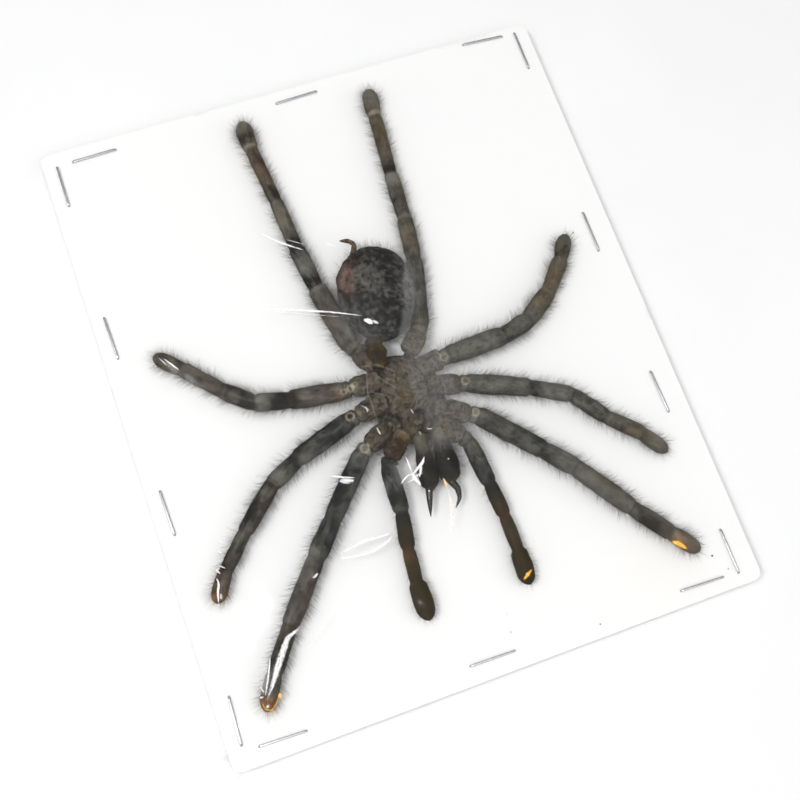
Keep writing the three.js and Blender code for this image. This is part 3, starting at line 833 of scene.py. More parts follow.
def staple_tree():
    """A staple bent from wire at every point, turned to the point's heading."""
    tree, given, result = geometry_tree("Staples", ("Crown", "Wire", "Low", "High", "Clinch", "Bend"))
    half = times(tree, given["Crown"], 0.5)
    less = calc(tree, "SUBTRACT", half, given["Clinch"])
    corners = []
    for sign, reach, level in ((-1.0, less, "Low"), (-1.0, half, "Low"), (-1.0, half, "High"),
                               (1.0, half, "High"), (1.0, half, "Low"), (1.0, less, "Low")):
        corners.append(xyz(tree, times(tree, reach, sign), z=given[level]))
    line = out(tree, "GeometryNodeMeshLine", {"Count": len(corners)})
    pick = put(tree, "GeometryNodeIndexSwitch", data_type="VECTOR")
    while len(pick.index_switch_items) < len(corners):
        pick.index_switch_items.new()
    tree.links.new(out(tree, "GeometryNodeInputIndex"), pick.inputs["Index"])
    for i, corner in enumerate(corners):
        tree.links.new(corner, pick.inputs[i + 1])
    placed = out(tree, "GeometryNodeSetPosition", {"Geometry": line, "Position": pick.outputs[0]})
    path = out(tree, "GeometryNodeMeshToCurve", {0: placed})
    path = rounded(tree, path, given["Bend"], 5)
    section = out(tree, "GeometryNodeCurvePrimitiveQuadrilateral", {
        0: given["Wire"], 1: times(tree, given["Wire"], 0.8)})
    section = rounded(tree, section, times(tree, given["Wire"], 0.24), 2)
    wire = out(tree, "GeometryNodeCurveToMesh", {"Curve": path, "Profile Curve": section, "Fill Caps": True})
    turn = out(tree, "FunctionNodeEulerToRotation", {0: xyz(tree, z=named(tree, "heading"))})
    placed = out(tree, "GeometryNodeInstanceOnPoints", {
        "Points": given["Geometry"], "Instance": wire, "Rotation": turn})
    finish_tree(tree, placed, given["Material"], result)
    return tree


# ---- the flat sheets


def board_outline(wider=0.0):
    """Half the board's sides and the radius of its corners in millimetres."""
    s = sizes()
    return s.board_width / MM / 2 + wider, s.board_height / MM / 2 + wider, s.board_corner / MM


def sheet_grid(half_x, half_y, corner, pitch):
    """Grid points over a rectangle with round corners, its faces and its border in order."""
    nx, ny = 2 * round(half_x / pitch) + 1, 2 * round(half_y / pitch) + 1
    x, y = np.meshgrid(np.linspace(-half_x, half_x, nx), np.linspace(-half_y, half_y, ny), indexing="ij")
    a = np.clip((np.abs(x) - half_x + corner) / corner, 0, None)
    b = np.clip((np.abs(y) - half_y + corner) / corner, 0, None)
    shrink = np.where(a * b > 0, np.maximum(a, b) / np.maximum(np.hypot(a, b), 1e-9), 1)
    x = np.where(a * b > 0, np.sign(x) * (half_x - corner + a * shrink * corner), x)
    y = np.where(a * b > 0, np.sign(y) * (half_y - corner + b * shrink * corner), y)
    index = np.arange(nx * ny).reshape(nx, ny)
    return x, y, grid_faces(index), grid_border(index)


def border_ways(edge, half_x, half_y, corner):
    """The outward direction at each border point."""
    reach = np.array((half_x - corner, half_y - corner))
    return unit_rows(edge[:, :2] - np.clip(edge[:, :2], -reach, reach))


def bridge(first, second):
    """Faces between two closed rings of equal count."""
    return as_faces(zip(first, second, np.roll(second, -1), np.roll(first, -1)))


BOARD_PITCH = 1.25
BACK = 0.3  # height of the board's own back, over the film's hem and the staples' ends
FOAM_ROWS = range(2, 6)  # the rows of the board's side that show foam


class SPECIMEN_OT_board(bpy.types.Operator):
    """Make the paper-faced foam board, with its dents, stains and specks"""
    bl_idname = "specimen.board"
    bl_label = "Foam board"

    def execute(self, context):
        half_x, half_y, corner = board_outline()
        paper = sizes().paper / MM
        x, y, faces, border = sheet_grid(half_x, half_y, corner, BOARD_PITCH)
        flat = np.stack([x.ravel(), y.ravel(), np.zeros(x.size)], 1)
        top, back = flat.copy(), flat.copy()
        top[:, 2] = THICK - 0.03 + 0.025 * rough(flat, 0.05, 3)
        for dent_x, dent_y, depth, reach in DENTS:
            top[:, 2] -= depth * bell(distance_to(flat, dent_x, dent_y), reach)
        back[:, 2] = BACK
        edge = flat[border]
        ways = border_ways(edge, half_x, half_y, corner)
        level, foam = rough(edge, 0.15, 9), rough(edge, 1.5, 4)
        # how far each ring of the side stands out, and its height: the foam lies a little inside the paper
        side = ((0.0, THICK - 0.06), (-0.02, THICK - paper), (-0.22, THICK - paper - 0.05),
                (-0.3, THICK * 0.7), (-0.3, THICK * 0.4), (-0.22, BACK + paper + 0.05), (-0.02, BACK + paper))
        points, loops = [top, back], [border]
        for k, (offset, z) in enumerate(side):
            ring = edge.copy()
            uneven = 0.1 * foam if offset < -0.1 else 0.03 * level
            ring[:, :2] += ways * (offset + uneven)[:, None]
            ring[:, 2] = z + 0.02 * level
            loops.append(2 * len(flat) + k * len(border) + np.arange(len(border)))
            points.append(ring)
        loops.append(len(flat) + border)
        all_faces, slots = as_faces(faces) + as_faces(faces[:, ::-1] + len(flat)), [0] * (2 * len(faces))
        for k, (a, b) in enumerate(zip(loops[:-1], loops[1:])):
            all_faces += bridge(a, b)
            slots += [int(k in FOAM_ROWS)] * len(border)
        piece = make_piece("foam_board", np.vstack(points), all_faces, (paper_material(), foam_material()))
        face_out(piece)
        piece.data.polygons.foreach_set("material_index", slots)
        where = points_of(piece.data)
        stain = sum(strength * bell(distance_to(where, sx, sy), reach) for sx, sy, reach, strength in STAINS)
        store(piece, "stain", unit(stain))
        mark_sharp(piece, 50)
        finish_piece(piece, "board", "backing_board")
        specks()
        return {"FINISHED"}


def mark_sharp(piece, degrees):
    piece.data.set_sharp_from_angle(angle=math.radians(degrees))


def specks():
    """Flakes of dirt lying on the film."""
    points, faces, level = [], [], THICK + 0.2
    for n, (x, y, r) in enumerate(SPECKS):
        base = len(points)
        for i in range(6):
            angle, reach = i * math.pi / 3 + n, r * (0.8 + 0.35 * math.sin(3.1 * i + n))
            points.append((x + reach * math.cos(angle), y + reach * math.sin(angle), level))
            after = base + (i + 1) % 6
            faces += [(base + i, after, base + 6), (after, base + i, base + 7)]
        points += [(x, y, level + r * 0.45), (x, y, level - 0.06)]
    material = two_tone_material(
        "dirt", (0.05, 0.04, 0.03), (0.14, 0.1, 0.07), 900.0, 4000.0, 0.4, 0.6, (0.7, 0.95), 0.0001)
    finish_piece(make_piece("dirt_specks", points, faces, (material,)), "board")


def paper_material():
    material, tree, shader = new_material("board_paper", Specular_IOR_Level=0.3)
    spots = mottle(tree, 45.0, 1400.0, 0.35, 0.75)
    base = mixed(tree, times(tree, spots["Patch"], 0.5), rgba("paper"), (0.83, 0.835, 0.84, 1))
    base = mixed(tree, marked(tree, "stain", 0.3), base, (0.84, 0.81, 0.73, 1))
    coat(tree, shader, base, spots["Grain"], 0.5, 0.7)
    bump(tree, shader, spots["Grain"], 0.15, 0.00005)
    return material


def foam_material():
    return two_tone_material(
        "board_foam", (0.74, 0.74, 0.73), (0.86, 0.86, 0.85), 900.0, 3500.0, 0.35, 0.6, (0.8, 0.95), 0.0002)


# ---- the spider


def coxa_way(hip, coxa):
    """The direction from a coxa's root to its hip, as seen from above."""
    away = np.array(hip) - np.array(coxa)
    return away / np.hypot(*away)


def limb_line(name):
    """The limb's joints in millimetres with the name and width of each segment."""
    hip, heights, coxa, run = LIMBS[name]
    start = np.array(hip) - coxa_way(hip, coxa) * TROCHANTER
    kinds = LEG_SEGMENTS if len(run) == len(LEG_SEGMENTS) else PALP_SEGMENTS
    joints = [(*start, THICK + heights[0] + 0.35), (*hip, THICK + heights[0])]
    segments = [("trochanter", COXA_WIDTH * 0.86)]
    place = np.array(hip, float)
    for (size, heading, width), kind, height in zip(run, kinds, heights[1:]):
        angle = math.radians(heading)
        place = place + size * np.array((math.cos(angle), math.sin(angle)))
        joints.append((*place, THICK + height))
        segments.append((kind, width))
    return np.array(joints), segments


def smoothed(values, reach):
    """A running mean that keeps the two ends."""
    if values.ndim > 1:
        return np.stack([smoothed(column, reach) for column in values.T], 1)
    kernel = np.hanning(2 * reach + 3)[1:-1]
    before, after = 2 * values[:1] - values[reach:0:-1], 2 * values[-1:] - values[-2:-reach - 2:-1]
    return np.convolve(np.concatenate([before, values, after]), kernel / kernel.sum(), "valid")


LIMB_PITCH = 0.33  # distance between the rings of a limb
LIMB_SIDES = 26
SLIM = 0.96  # room for the hair


def limb_course(name):
    """A limb's centre line: its points, radii and segment numbers, its run and the distance to a joint."""
    joints, segments = limb_line(name)
    line, radii, where = [], [], []
    for k, (kind, width) in enumerate(segments):
        steps = max(4, round(np.linalg.norm(joints[k + 1] - joints[k]) / LIMB_PITCH))
        t = np.arange(steps) / steps
        if k == len(segments) - 1:
            t = np.linspace(0, 1, steps + 1)
        line.append(joints[k] + t[:, None] * (joints[k + 1] - joints[k]))
        radii.append(width / 2 * SLIM * np.interp(t, *zip(*SWELL[kind])))
        where.append(np.full(len(t), k - 1))
    line, radii = smoothed(np.vstack(line), 4), smoothed(np.concatenate(radii), 2)
    where, run = np.concatenate(where), run_along(line)
    breaks = run[np.flatnonzero(np.diff(where) != 0) + 1]
    near = np.min(np.abs(run[:, None] - breaks[None, :]), axis=1)
    radii = radii * (1 - (0.14 if name.startswith("palp") else 0.06) * bell(near, 0.6))
    tip, root = segments[-1][1] * 0.62, 1.1
    radii = radii * np.sqrt(unit(1 - np.clip((run - run[-1] + tip) / tip, 0, 0.985) ** 2))
    radii = radii * np.sqrt(unit(1 - np.clip((root - run) / root, 0, 0.97) ** 2))
    return line, radii, where, run, near


def limb(name, material):
    line, radii, where, run, near = limb_course(name)
    number = sum(map(ord, name))
    fold = smoothed(np.array([noise.noise(Vector((r * 0.11, number, 0))) for r in run]), 2)
    furrow = np.isin(where, (1, 2))

    def shape(i, turn):
        lump = 0.022 * np.cos(3 * turn + 5 * fold[i]) + 0.018 * np.cos(2 * turn - 3 * fold[i])
        return 1 + lump - 0.05 * furrow[i] * np.exp(-((turn - math.pi / 2) / 0.4) ** 2)

    points, faces, places, angles, ways = tube(line, radii, LIMB_SIDES, shape=shape)
    centre = line[places]
    size = roughened(points, (0.35, number, 0.05), (1.3, number + 5, 0.022))
    points = centre + (points - centre) * (1 + size[:, None])
    piece = skin_piece(name, points, faces, material)
    add_map(piece, angles * radii[places], run[places])
    paint_limb(piece, name, points, angles, where, run, places, near[places], number)
    groom(piece, ways[places], 1 - 0.8 * bell(near[places], 0.4))
    finish_piece(piece, "leg", name)


def paint_limb(piece, name, points, angles, where, run, places, near, number):
    """Stores a limb's marks: its own, those of its joints, the streaks along it and a painted highlight on
    its upper side.
    """
    marks = blank_marks(points)
    ragged = 0.7 * rough(points, 0.7, number + 2)
    for what, segment, at, reach, side, strength in MARKS[name]:
        stretch = run[where == segment]
        middle = stretch[0] + at * (stretch[-1] - stretch[0])
        distance = np.abs(run[places] - middle) + (0 if what == "cream" else ragged)
        amount = strength * bell(distance, reach)
        if side:
            amount = amount * unit(0.5 + 0.75 * side * np.cos(angles))
        marks[what] += amount
    left, palp = "left" in name, name.startswith("palp")
    drawn = np.stack([run[places] * 0.2, np.cos(angles) * 1.2, np.sin(angles) * 1.2], 1)
    broad = rough(drawn, 1, number + 9) + 0.6 * rough(drawn * (2.6, 2.4, 2.4), 1, number + 3)
    broad = broad * (0.7 if left else 0.45)
    swing = np.sin(1.7 * number + 2.3 * where[places])
    marks["cream"] += 0.05 * bell(near, 0.3) + socket_rings(points)
    marks["pale"] += 0.35 * bell(np.abs(run[places] - 1.5), 1.6)
    marks["warm"] += 0.3 * unit((where[places] - 1.5) / 2)
    # Painted highlight: the upper side of a leg is made paler, as if lit from above.
    crown = (0.0 if palp else 0.16) * unit(np.sin(angles))
    marks["pale"] += 0.6 * unit(broad * 1.6 - 0.1) + crown
    marks["pale"] += 0.0 if left or palp else 0.12
    marks["dark"] += 0.65 * unit(-broad * 1.6 - 0.05) + 0.2 * bell(near, 0.5) + SHADE.get(name, 0)
    marks["pale"] += 0.22 * unit(swing)
    marks["dark"] += 0.22 * unit(-swing)
    store_marks(piece, marks, 0.5 * bell(near - 0.1, 0.22) * (1 + 0.5 * ragged))


# Pale rings where a limb turns in its socket: (x, y, radius, strength).
SOCKETS = (
    (-16.9, -12.0, 1.05, 0.9), (-16.1, -21.3, 1.1, 1.0), (15.1, -12.5, 0.95, 0.75), (14.6, -21.4, 0.95, 0.9),
    (-14.3, -4.9, 0.8, 0.8), (-16.3, -5.2, 0.7, 0.7), (12.0, -4.6, 0.95, 0.5), (-12.9, -4.2, 0.6, 0.4),
)


def socket_rings(points):
    above = points[:, 2] > THICK + 4
    rings = (strength * bell(distance_to(points, x, y) - radius, 0.24) for x, y, radius, strength in SOCKETS)
    return sum(ring * above for ring in rings)


def groom(piece, ways, cover, crown=0.5):
    """Stores which way the hair lies, how far it stands out, and where there is some.

    Crown is the share of hair kept on the parts that face up."""
    normals, points = normals_of(piece.data), points_of(piece.data)
    for x, y, radius, _ in SOCKETS:
        cover = cover * (1 - 0.95 * bell(distance_to(points, x, y), radius * 1.3))
    store(piece, "lay_way", unit_rows(ways - normals * np.sum(ways * normals, 1)[:, None]))
    up = normals[:, 2]
    store(piece, "stand", 0.14 + 1.5 * unit(1 - np.abs(up)))
    side = crown + (1 - crown) * unit(1.15 - up ** 2 * 1.3)
    tufts = np.clip(1 + 1.4 * rough(points, 0.45, 17), 0.2, 1.9)
    store(piece, "cover", unit(cover) * unit(1.6 + 2 * up) * side * tufts)


class SPECIMEN_OT_legs(bpy.types.Operator):
    """Make the eight legs and the two palps, joint by joint, with their marks"""
    bl_idname = "specimen.legs"
    bl_label = "Legs and palps"

    def execute(self, context):
        material = skin_material("leg_cuticle", "leg_dark", "leg_light", 330.0, 0.35, 0.68)
        for name in LIMBS:
            limb(name, material)
        return {"FINISHED"}


def ball(centre, half, heading=0.0, rings=18, sides=24, taper=0.0):
    """An egg: a closed form with three half axes, its length turned to the heading."""
    points, faces = [(0, 0, -1)], []
    for i in range(1, rings):
        out_by, up = math.sin(math.pi * i / rings), -math.cos(math.pi * i / rings)
        for j in range(sides):
            turn = 2 * math.pi * j / sides
            points.append((out_by * math.cos(turn), out_by * math.sin(turn), up))
    points.append((0, 0, 1))
    last = len(points) - 1
    for j in range(sides):
        k = (j + 1) % sides
        faces.append((0, 1 + k, 1 + j))
        faces.append((last, last - sides + j, last - sides + k))
        for i in range(rings - 2):
            a = 1 + i * sides
            faces.append((a + j, a + k, a + sides + k, a + sides + j))
    p = np.array(points)
    p = np.stack([p[:, 0], p[:, 2], -p[:, 1]], 1)  # the poles lie along the length
    p[:, 0] *= 1 + taper * p[:, 1]
    p[:, 2] *= 1 + taper * p[:, 1]
    p *= np.array(half)
    turned = math.radians(heading)
    c, s = math.cos(turned), math.sin(turned)
    p = np.stack([c * p[:, 0] - s * p[:, 1], s * p[:, 0] + c * p[:, 1], p[:, 2]], 1)
    return p + np.array((centre[0], centre[1], THICK + centre[2])), faces


def rod(start, end, radii):
    """A rounded rod between two points, with a radius at its start, middle and end."""
    start, end = np.array(start, float), np.array(end, float)
    t = np.linspace(0, 1, 15)
    line = start + t[:, None] * (end - start)
    r = np.interp(t, (0, 0.55, 1), radii) * np.sqrt(np.clip(1 - (2 * t - 1) ** 8 * 0.96, 0.02, 1))
    points, faces, *_ = tube(line, r, 20)
    return points, faces


def fused(name, shells, pitch, material):
    """One skin round several overlapping closed shells."""
    points, faces = [], []
    for p, f in shells:
        base = sum(len(q) for q in points)
        points.append(p)
        faces += [tuple(i + base for i in face) for face in f]
    rough_piece = make_piece(name + "_shells", np.vstack(points), faces)
    remesh = rough_piece.modifiers.new("skin", "REMESH")
    remesh.mode, remesh.voxel_size, remesh.use_smooth_shade = "VOXEL", pitch * MM, True
    mesh = evaluated(rough_piece)
    bpy.data.objects.remove(rough_piece)
    mesh.name = name
    mesh.materials.clear()
    mesh.materials.append(material)
    return link_object(name, mesh)


def neighbour_mean(mesh, values, rounds=1):
    """Values at the points, each replaced by the mean of its neighbours."""
    edges = np.empty(len(mesh.edges) * 2, int)
    mesh.edges.foreach_get("vertices", edges)
    a, b = edges.reshape(-1, 2).T
    size = len(mesh.vertices)
    near_by = np.maximum(np.bincount(a, minlength=size) + np.bincount(b, minlength=size), 1)
    for _ in range(rounds):
        columns = values.reshape(size, -1)
        total = np.stack([np.bincount(a, column[b], size) + np.bincount(b, column[a], size)
                          for column in columns.T], 1)
        values = (total / near_by[:, None]).reshape(values.shape)
    return values


def set_points(piece, points):
    piece.data.vertices.foreach_set("co", (points * MM).ravel())
    piece.data.update()


BODY_PITCH = 0.26
BODY_CEILING = 6.6  # height above the board where the film presses the body flatter
# Round marks of the body: (what, x, y, reach, strength).
BODY_SPOTS = (
    ("pale", -2.5, -10.5, 5, 0.35), ("warm", -4.6, -20.8, 2.6, 0.5), ("pale", -4.6, -20.8, 2.2, 0.5),
    ("ruddy", -10.6, -24.6, 2.0, 0.6), ("warm", -4.6, -24.6, 2.2, 0.9), ("dark", -12, -22.8, 1.2, 0.8),
    ("pale", -13, -4.8, 2, 0.4), ("cream", -14.4, -4.7, 0.8, 0.7), ("pale", -15, -11.6, 1.8, 0.4),
    ("dark", -0.6, -21.9, 1, 0.8), ("dark", 0.9, -16.5, 0.9, 0.7), ("pale", 10, 4, 3, 0.3),
    ("pale", 11.5, -4.2, 3, 0.3), ("warm", 3.6, -24, 3, 0.4), ("pale", 1.5, -6, 4, 0.2),
    ("dark", -8, -15.5, 1.5, 0.35), ("dark", 4.5, -12, 2, 0.25), ("dark", -10.5, -25, 2.2, 0.6),
    ("dark", -7.8, -26, 2.8, 0.9), ("warm", -8, -25, 3, 0.5), ("dark", -9, -24, 3, 0.7),
)


class SPECIMEN_OT_body(bpy.types.Operator):
    """Make the cephalothorax with its sternum and coxae, and the amber waist"""
    bl_idname = "specimen.body"
    bl_label = "Body and waist"

    def execute(self, context):
        shells = [ball(*CARAPACE), ball(*STERNUM), ball(*LABIUM)]
        r = COXA_WIDTH / 2
        for hip, heights, coxa, _ in LIMBS.values():
            end = np.array(hip) - coxa_way(hip, coxa) * (TROCHANTER - 0.9)
            root = (*coxa, THICK + COXA_ROOT_HEIGHT)
            shells.append(rod(root, (*end, THICK + heights[0] + 0.5), (r * 0.92, r * 1.02, r * 0.92)))
        material = skin_material(
            "body_cuticle", "body_dark", "body_light", 420.0, 0.3, 0.72, strands=False, gloss=0.8, lift=0.02)
        piece = fused("cephalothorax_skin", shells, BODY_PITCH, material)
        mesh, points, normals = piece.data, points_of(piece.data), normals_of(piece.data)
        cavity = np.sum((neighbour_mean(mesh, points, 5) - points) * normals, 1)
        # Worked out from the shape: the ridges get a painted highlight and the hollows painted shade.
        painted_ridge_highlight = neighbour_mean(mesh, unit(-cavity / 0.1), 2)
        cavity = neighbour_mean(mesh, unit(cavity / 0.11), 2)
        bumps = roughened(points, (0.35, 2, 0.35), (0.9, 5, 0.22), (2.2, 8, 0.09))
        moved = points + normals * (bumps - 0.1 * cavity)[:, None]
        over = moved[:, 2] - THICK - BODY_CEILING
        moved[:, 2] -= 0.55 * np.maximum(over, 0)
        set_points(piece, moved)
        self.paint(piece, points, painted_ridge_highlight, cavity)
        finish_piece(piece, "body", "cephalothorax")
        self.waist()
        return {"FINISHED"}

    @staticmethod
    def paint(piece, points, painted_ridge_highlight, cavity):
        marks = blank_marks(points)
        add_spots(marks, points, 0.6 * rough(points, 0.8, 6), BODY_SPOTS)
        broad = rough(points, 0.24, 3)
        fine = roughened(points, (0.75, 13, 1), (1.9, 14, 0.7))
        wrinkles = bell(rough(points, 0.45, 21), 0.06) + 0.7 * bell(rough(points, 0.95, 22), 0.06)
        marks["ruddy"] += 0.22 * unit(broad * 2)
        marks["warm"] += 0.4 * unit(-broad * 2)
        marks["dark"] += 0.35 * unit(-fine * 1.5) + 0.5 * wrinkles
        # Random pale grain, and a painted highlight on the ridges.
        marks["pale"] += 0.4 * unit(fine * 1.5 - 0.1) + 0.35 * painted_ridge_highlight
        marks["cream"] += 0.3 * bell(rough(points, 0.6, 23), 0.03) + socket_rings(points)
        # Painted shade in the hollows.
        store_marks(piece, marks, unit(cavity * 1.15))
        centre = np.array((-0.6, -9.0, THICK + 4))
        groom(piece, points - centre, 0.75 - 0.5 * cavity, crown=0.3)

    @staticmethod
    def waist():
        a, b, c, r = PEDICEL
        t = np.linspace(0, 1, 22)[:, None]
        line = (1 - t) ** 2 * np.array(a) + 2 * t * (1 - t) * np.array(b) + t ** 2 * np.array(c)
        line[:, 2] += THICK
        rings = 0.9 + 0.12 * np.cos(np.linspace(0, 4 * math.pi, 22))
        radii = r * rings * np.sqrt(np.clip(1 - (2 * t[:, 0] - 1) ** 6 * 0.9, 0.05, 1))
        points, faces, *_ = tube(line, radii, 28, flat=0.62)
        points[:, 2] += 0.15 * rough(points, 0.9, 3)
        material = two_tone_material(
            "waist_cuticle", (0.012, 0.007, 0.002), colours().amber, 420.0, 2400.0, 0.44, 0.66, (0.45, 0.65),
            0.0001, Specular_IOR_Level=0.15)
        finish_piece(skin_piece("pedicel", points, faces, material), "amber", "pedicel")


ABDOMEN_CEILING = 10.9  # height above the board of the film that presses the abdomen flat
# Round marks of the abdomen: (what, x, y, reach, strength).
ABDOMEN_SPOTS = (
    ("ruddy", -5.6, 26.5, 3.6, 0.75), ("ruddy", -6.8, 21, 2.6, 0.6), ("pale", -6.2, 24, 3, 0.4),
    ("pale", -0.6, 22, 4.2, 0.45), ("pale", 1.8, 18, 2.4, 0.5), ("dark", 4.5, 27.5, 4, 0.9),
    ("dark", 5.5, 20, 2.8, 0.8), ("dark", 0.5, 14, 3.4, 0.7), ("dark", 4, 8, 4, 0.6),
    ("dark", -2.6, 8.4, 1.5, 1.0), ("pale", 9.6, 18, 2.4, 0.55), ("pale", 9.8, 12, 2.2, 0.5),
    ("pale", -9.3, 14, 2.6, 0.2), ("dark", -2.4, 29, 2.6, 0.5), ("pale", 6.5, 32, 2.4, 0.4),
    ("dark", -4, 17, 2.2, 0.4),
)


class SPECIMEN_OT_abdomen(bpy.types.Operator):
    """Make the mottled abdomen, pressed flat where the film touches it, and its spinneret"""
    bl_idname = "specimen.abdomen"
    bl_label = "Abdomen and spinneret"

    def execute(self, context):
        middle, heading = ABDOMEN["centre"], ABDOMEN["heading"]
        points, faces = ball(middle, ABDOMEN["half"], heading - 90, 110, 150, ABDOMEN["taper"])
        centre = np.array((middle[0], middle[1], THICK + middle[2]))
        away = points - centre
        lumps = roughened(points, (0.16, 1, 0.03), (0.5, 4, 0.018), (1.6, 6, 0.008))
        creases = unit(rough(points, 0.3, 12)) ** 2 * 0.05
        points = centre + away * (1 + lumps - creases)[:, None]
        over = points[:, 2] - (THICK + ABDOMEN_CEILING - 0.5)
        pressed = THICK + ABDOMEN_CEILING - 0.5 + 0.5 * np.tanh(over / 0.9)
        points[:, 2] = np.maximum(np.where(over > 0, pressed, points[:, 2]), THICK + 0.12)
        material = skin_material(
            "abdomen_skin", "abdomen_dark", "abdomen_light", 850.0, 0.4, 0.62, False, gloss=0.62, lift=-0.04)
        piece = skin_piece("abdomen", points, faces, material)
        marks = blank_marks(points)
        add_spots(marks, points, roughened(points, (0.45, 6, 1.3), (1.4, 7, 0.5)), ABDOMEN_SPOTS)
        blotches = roughened(points, (0.5, 31, 1), (1.1, 32, 0.6))
        marks["dark"] = 0.6 * marks["dark"] + 0.6 * unit(blotches * 1.6)
        marks["pale"] += 0.35 * unit(-blotches * 1.6 - 0.1)
        # Painted shade in the creases.
        store_marks(piece, marks, unit(creases * 8))
        back = np.array((math.cos(math.radians(heading)), math.sin(math.radians(heading)), 0))
        groom(piece, away * 0.6 + 8 * back, np.full(len(points), 0.9), crown=0.12)
        finish_piece(piece, "abdomen", "abdomen")
        self.horn()
        return {"FINISHED"}

    @staticmethod
    def horn():
        t = np.linspace(0, len(SPINNERET) - 1, 34)
        line = smoothed(through(np.array(SPINNERET) + (0, 0, THICK), t), 4)
        radii = np.interp(t, (0, 1, 1.7, 2.4, 3), (0.95, 0.62, 0.62, 0.58, 0.12)) * (1 + 0.07 * np.cos(t * 9))
        radii[-3:] *= (0.9, 0.7, 0.4)
        points, faces, *_ = tube(line, radii, 20)
        material = two_tone_material(
            "spinneret_cuticle", (0.03, 0.024, 0.012), (0.15, 0.11, 0.06), 700.0, 2600.0, 0.4, 0.62,
            (0.45, 0.65), 0.0001, Specular_IOR_Level=0.2)
        finish_piece(skin_piece("spinneret", points, faces, material), "amber", "spinneret")


class SPECIMEN_OT_jaws(bpy.types.Operator):
    """Make the two dark chelicerae and their polished fangs"""
    bl_idname = "specimen.jaws"
    bl_label = "Chelicerae and fangs"

    def execute(self, context):
        material = skin_material(
            "jaw_cuticle", "leg_dark", "leg_light", 480.0, 0.35, 0.7, gloss=0.5, lift=-0.25)
        for name, (*ends, width) in CHELICERAE.items():
            self.chelicera(name, *(np.array(ends) + (0, 0, THICK)), width, material)
        chitin = two_tone_material(
            "fang_chitin", (0.004, 0.003, 0.003), (0.014, 0.009, 0.006), 500.0, 1800.0, 0.4, 0.7,
            (0.22, 0.34), 0.00003)
        for name, (*knots, width) in FANGS.items():
            t = np.linspace(0, 3, 40)
            line = smoothed(through(np.array(knots) + (0, 0, THICK), t), 5)
            radii = width / 2 * np.interp(t, (0, 0.3, 1, 2, 3), (0.9, 1.0, 0.86, 0.56, 0.12))
            points, faces, *_ = tube(line, radii, 22, flat=1.0)
            finish_piece(skin_piece(name, points, faces, chitin), "fang", name)
        return {"FINISHED"}

    @staticmethod
    def chelicera(name, start, end, width, material):
        t = np.linspace(0, 1, 44)
        line = start + t[:, None] * (end - start)
        radii = width / 2 * np.interp(t, (0, 0.25, 0.5, 0.7, 0.88, 1), (0.62, 0.66, 0.86, 1.0, 0.86, 0.4))
        tip = np.clip((t - 0.86) / 0.14, 0, 0.99)
        radii = smoothed(radii, 3) * np.sqrt(np.clip(1 - tip ** 2 * 0.96, 0.02, 1))
        radii[:4] *= (0.45, 0.7, 0.86, 0.95)
        points, faces, places, angles, ways = tube(line, radii, 32, flat=0.92)
        lumps = 1 + roughened(points, (0.5, 3, 0.09), (1.3, 5, 0.05))
        points = line[places] + (points - line[places]) * lumps[:, None]
        piece = skin_piece(name, points, faces, material)
        add_map(piece, angles * radii[places], t[places] * np.linalg.norm(end - start))
        marks, base = blank_marks(points), unit(1.6 - t[places] / 0.33)
        marks["pale"] += 0.45 * base
        marks["dark"] += 0.5 * (1 - base)
        marks["warm"] += 0.15
        # Painted reflection of a warm light near the tip.
        marks["gold"] += 0.5 * bell(t[places] - 0.97, 0.04)
        marks["cream"] += 0.1 * base
        store_marks(piece, marks, 0 * base)
        groom(piece, ways[places], np.full(len(points), 0.6), crown=0.3)
        finish_piece(piece, "chelicera", name)


def hair_material(name, dark, light, lift):
    """Hair that takes the tone of the skin that it grows on."""
    material, tree, shader = new_material(name, Specular_IOR_Level=SKIN_SHINE)
    spots = mottle(tree, 700.0, 4000.0, 0.35, 0.65)
    tone = calc(tree, "ADD", times(tree, spots["Patch"], 0.35), marked(tree, "pale", 0.75))
    tone = calc(tree, "SUBTRACT", calc(tree, "ADD", tone, lift), marked(tree, "dark", 0.55), clamp=True)
    base = tinted(
        tree, mixed(tree, tone, dark, light), tone,
        ("warm", 0.7, (0.03, 0.02, 0.006, 1), (0.15, 0.115, 0.07, 1)),
        ("ruddy", 0.8, (0.05, 0.02, 0.014, 1), (0.2, 0.12, 0.09, 1)),
        # painted reflection of a warm light, carried from the skin
        ("gold", 0.7, (0.15, 0.05, 0.01, 1), (0.5, 0.27, 0.09, 1)))
    coat(tree, shader, base, spots["Grain"], 0.45, 0.65)
    return material


# What grows hair, in the slot of its skin: the shares of fuzz and of bristles, and of their length.
HAIRY = {
    **{name: ("leg", 1.0, 0.4, 0.65) if "palp" in name else ("leg", 1.0, 1.0, 1.0) for name in LIMBS},
    "cephalothorax": ("body", 0.8, 0.4, 0.8), "abdomen": ("abdomen", 0.7, 0.5, 0.9),
    **dict.fromkeys(CHELICERAE, ("chelicera", 1.0, 0.8, 0.7)),
}
PER_SQUARE_CM = 1e4  # hairs a square metre for one a square centimetre


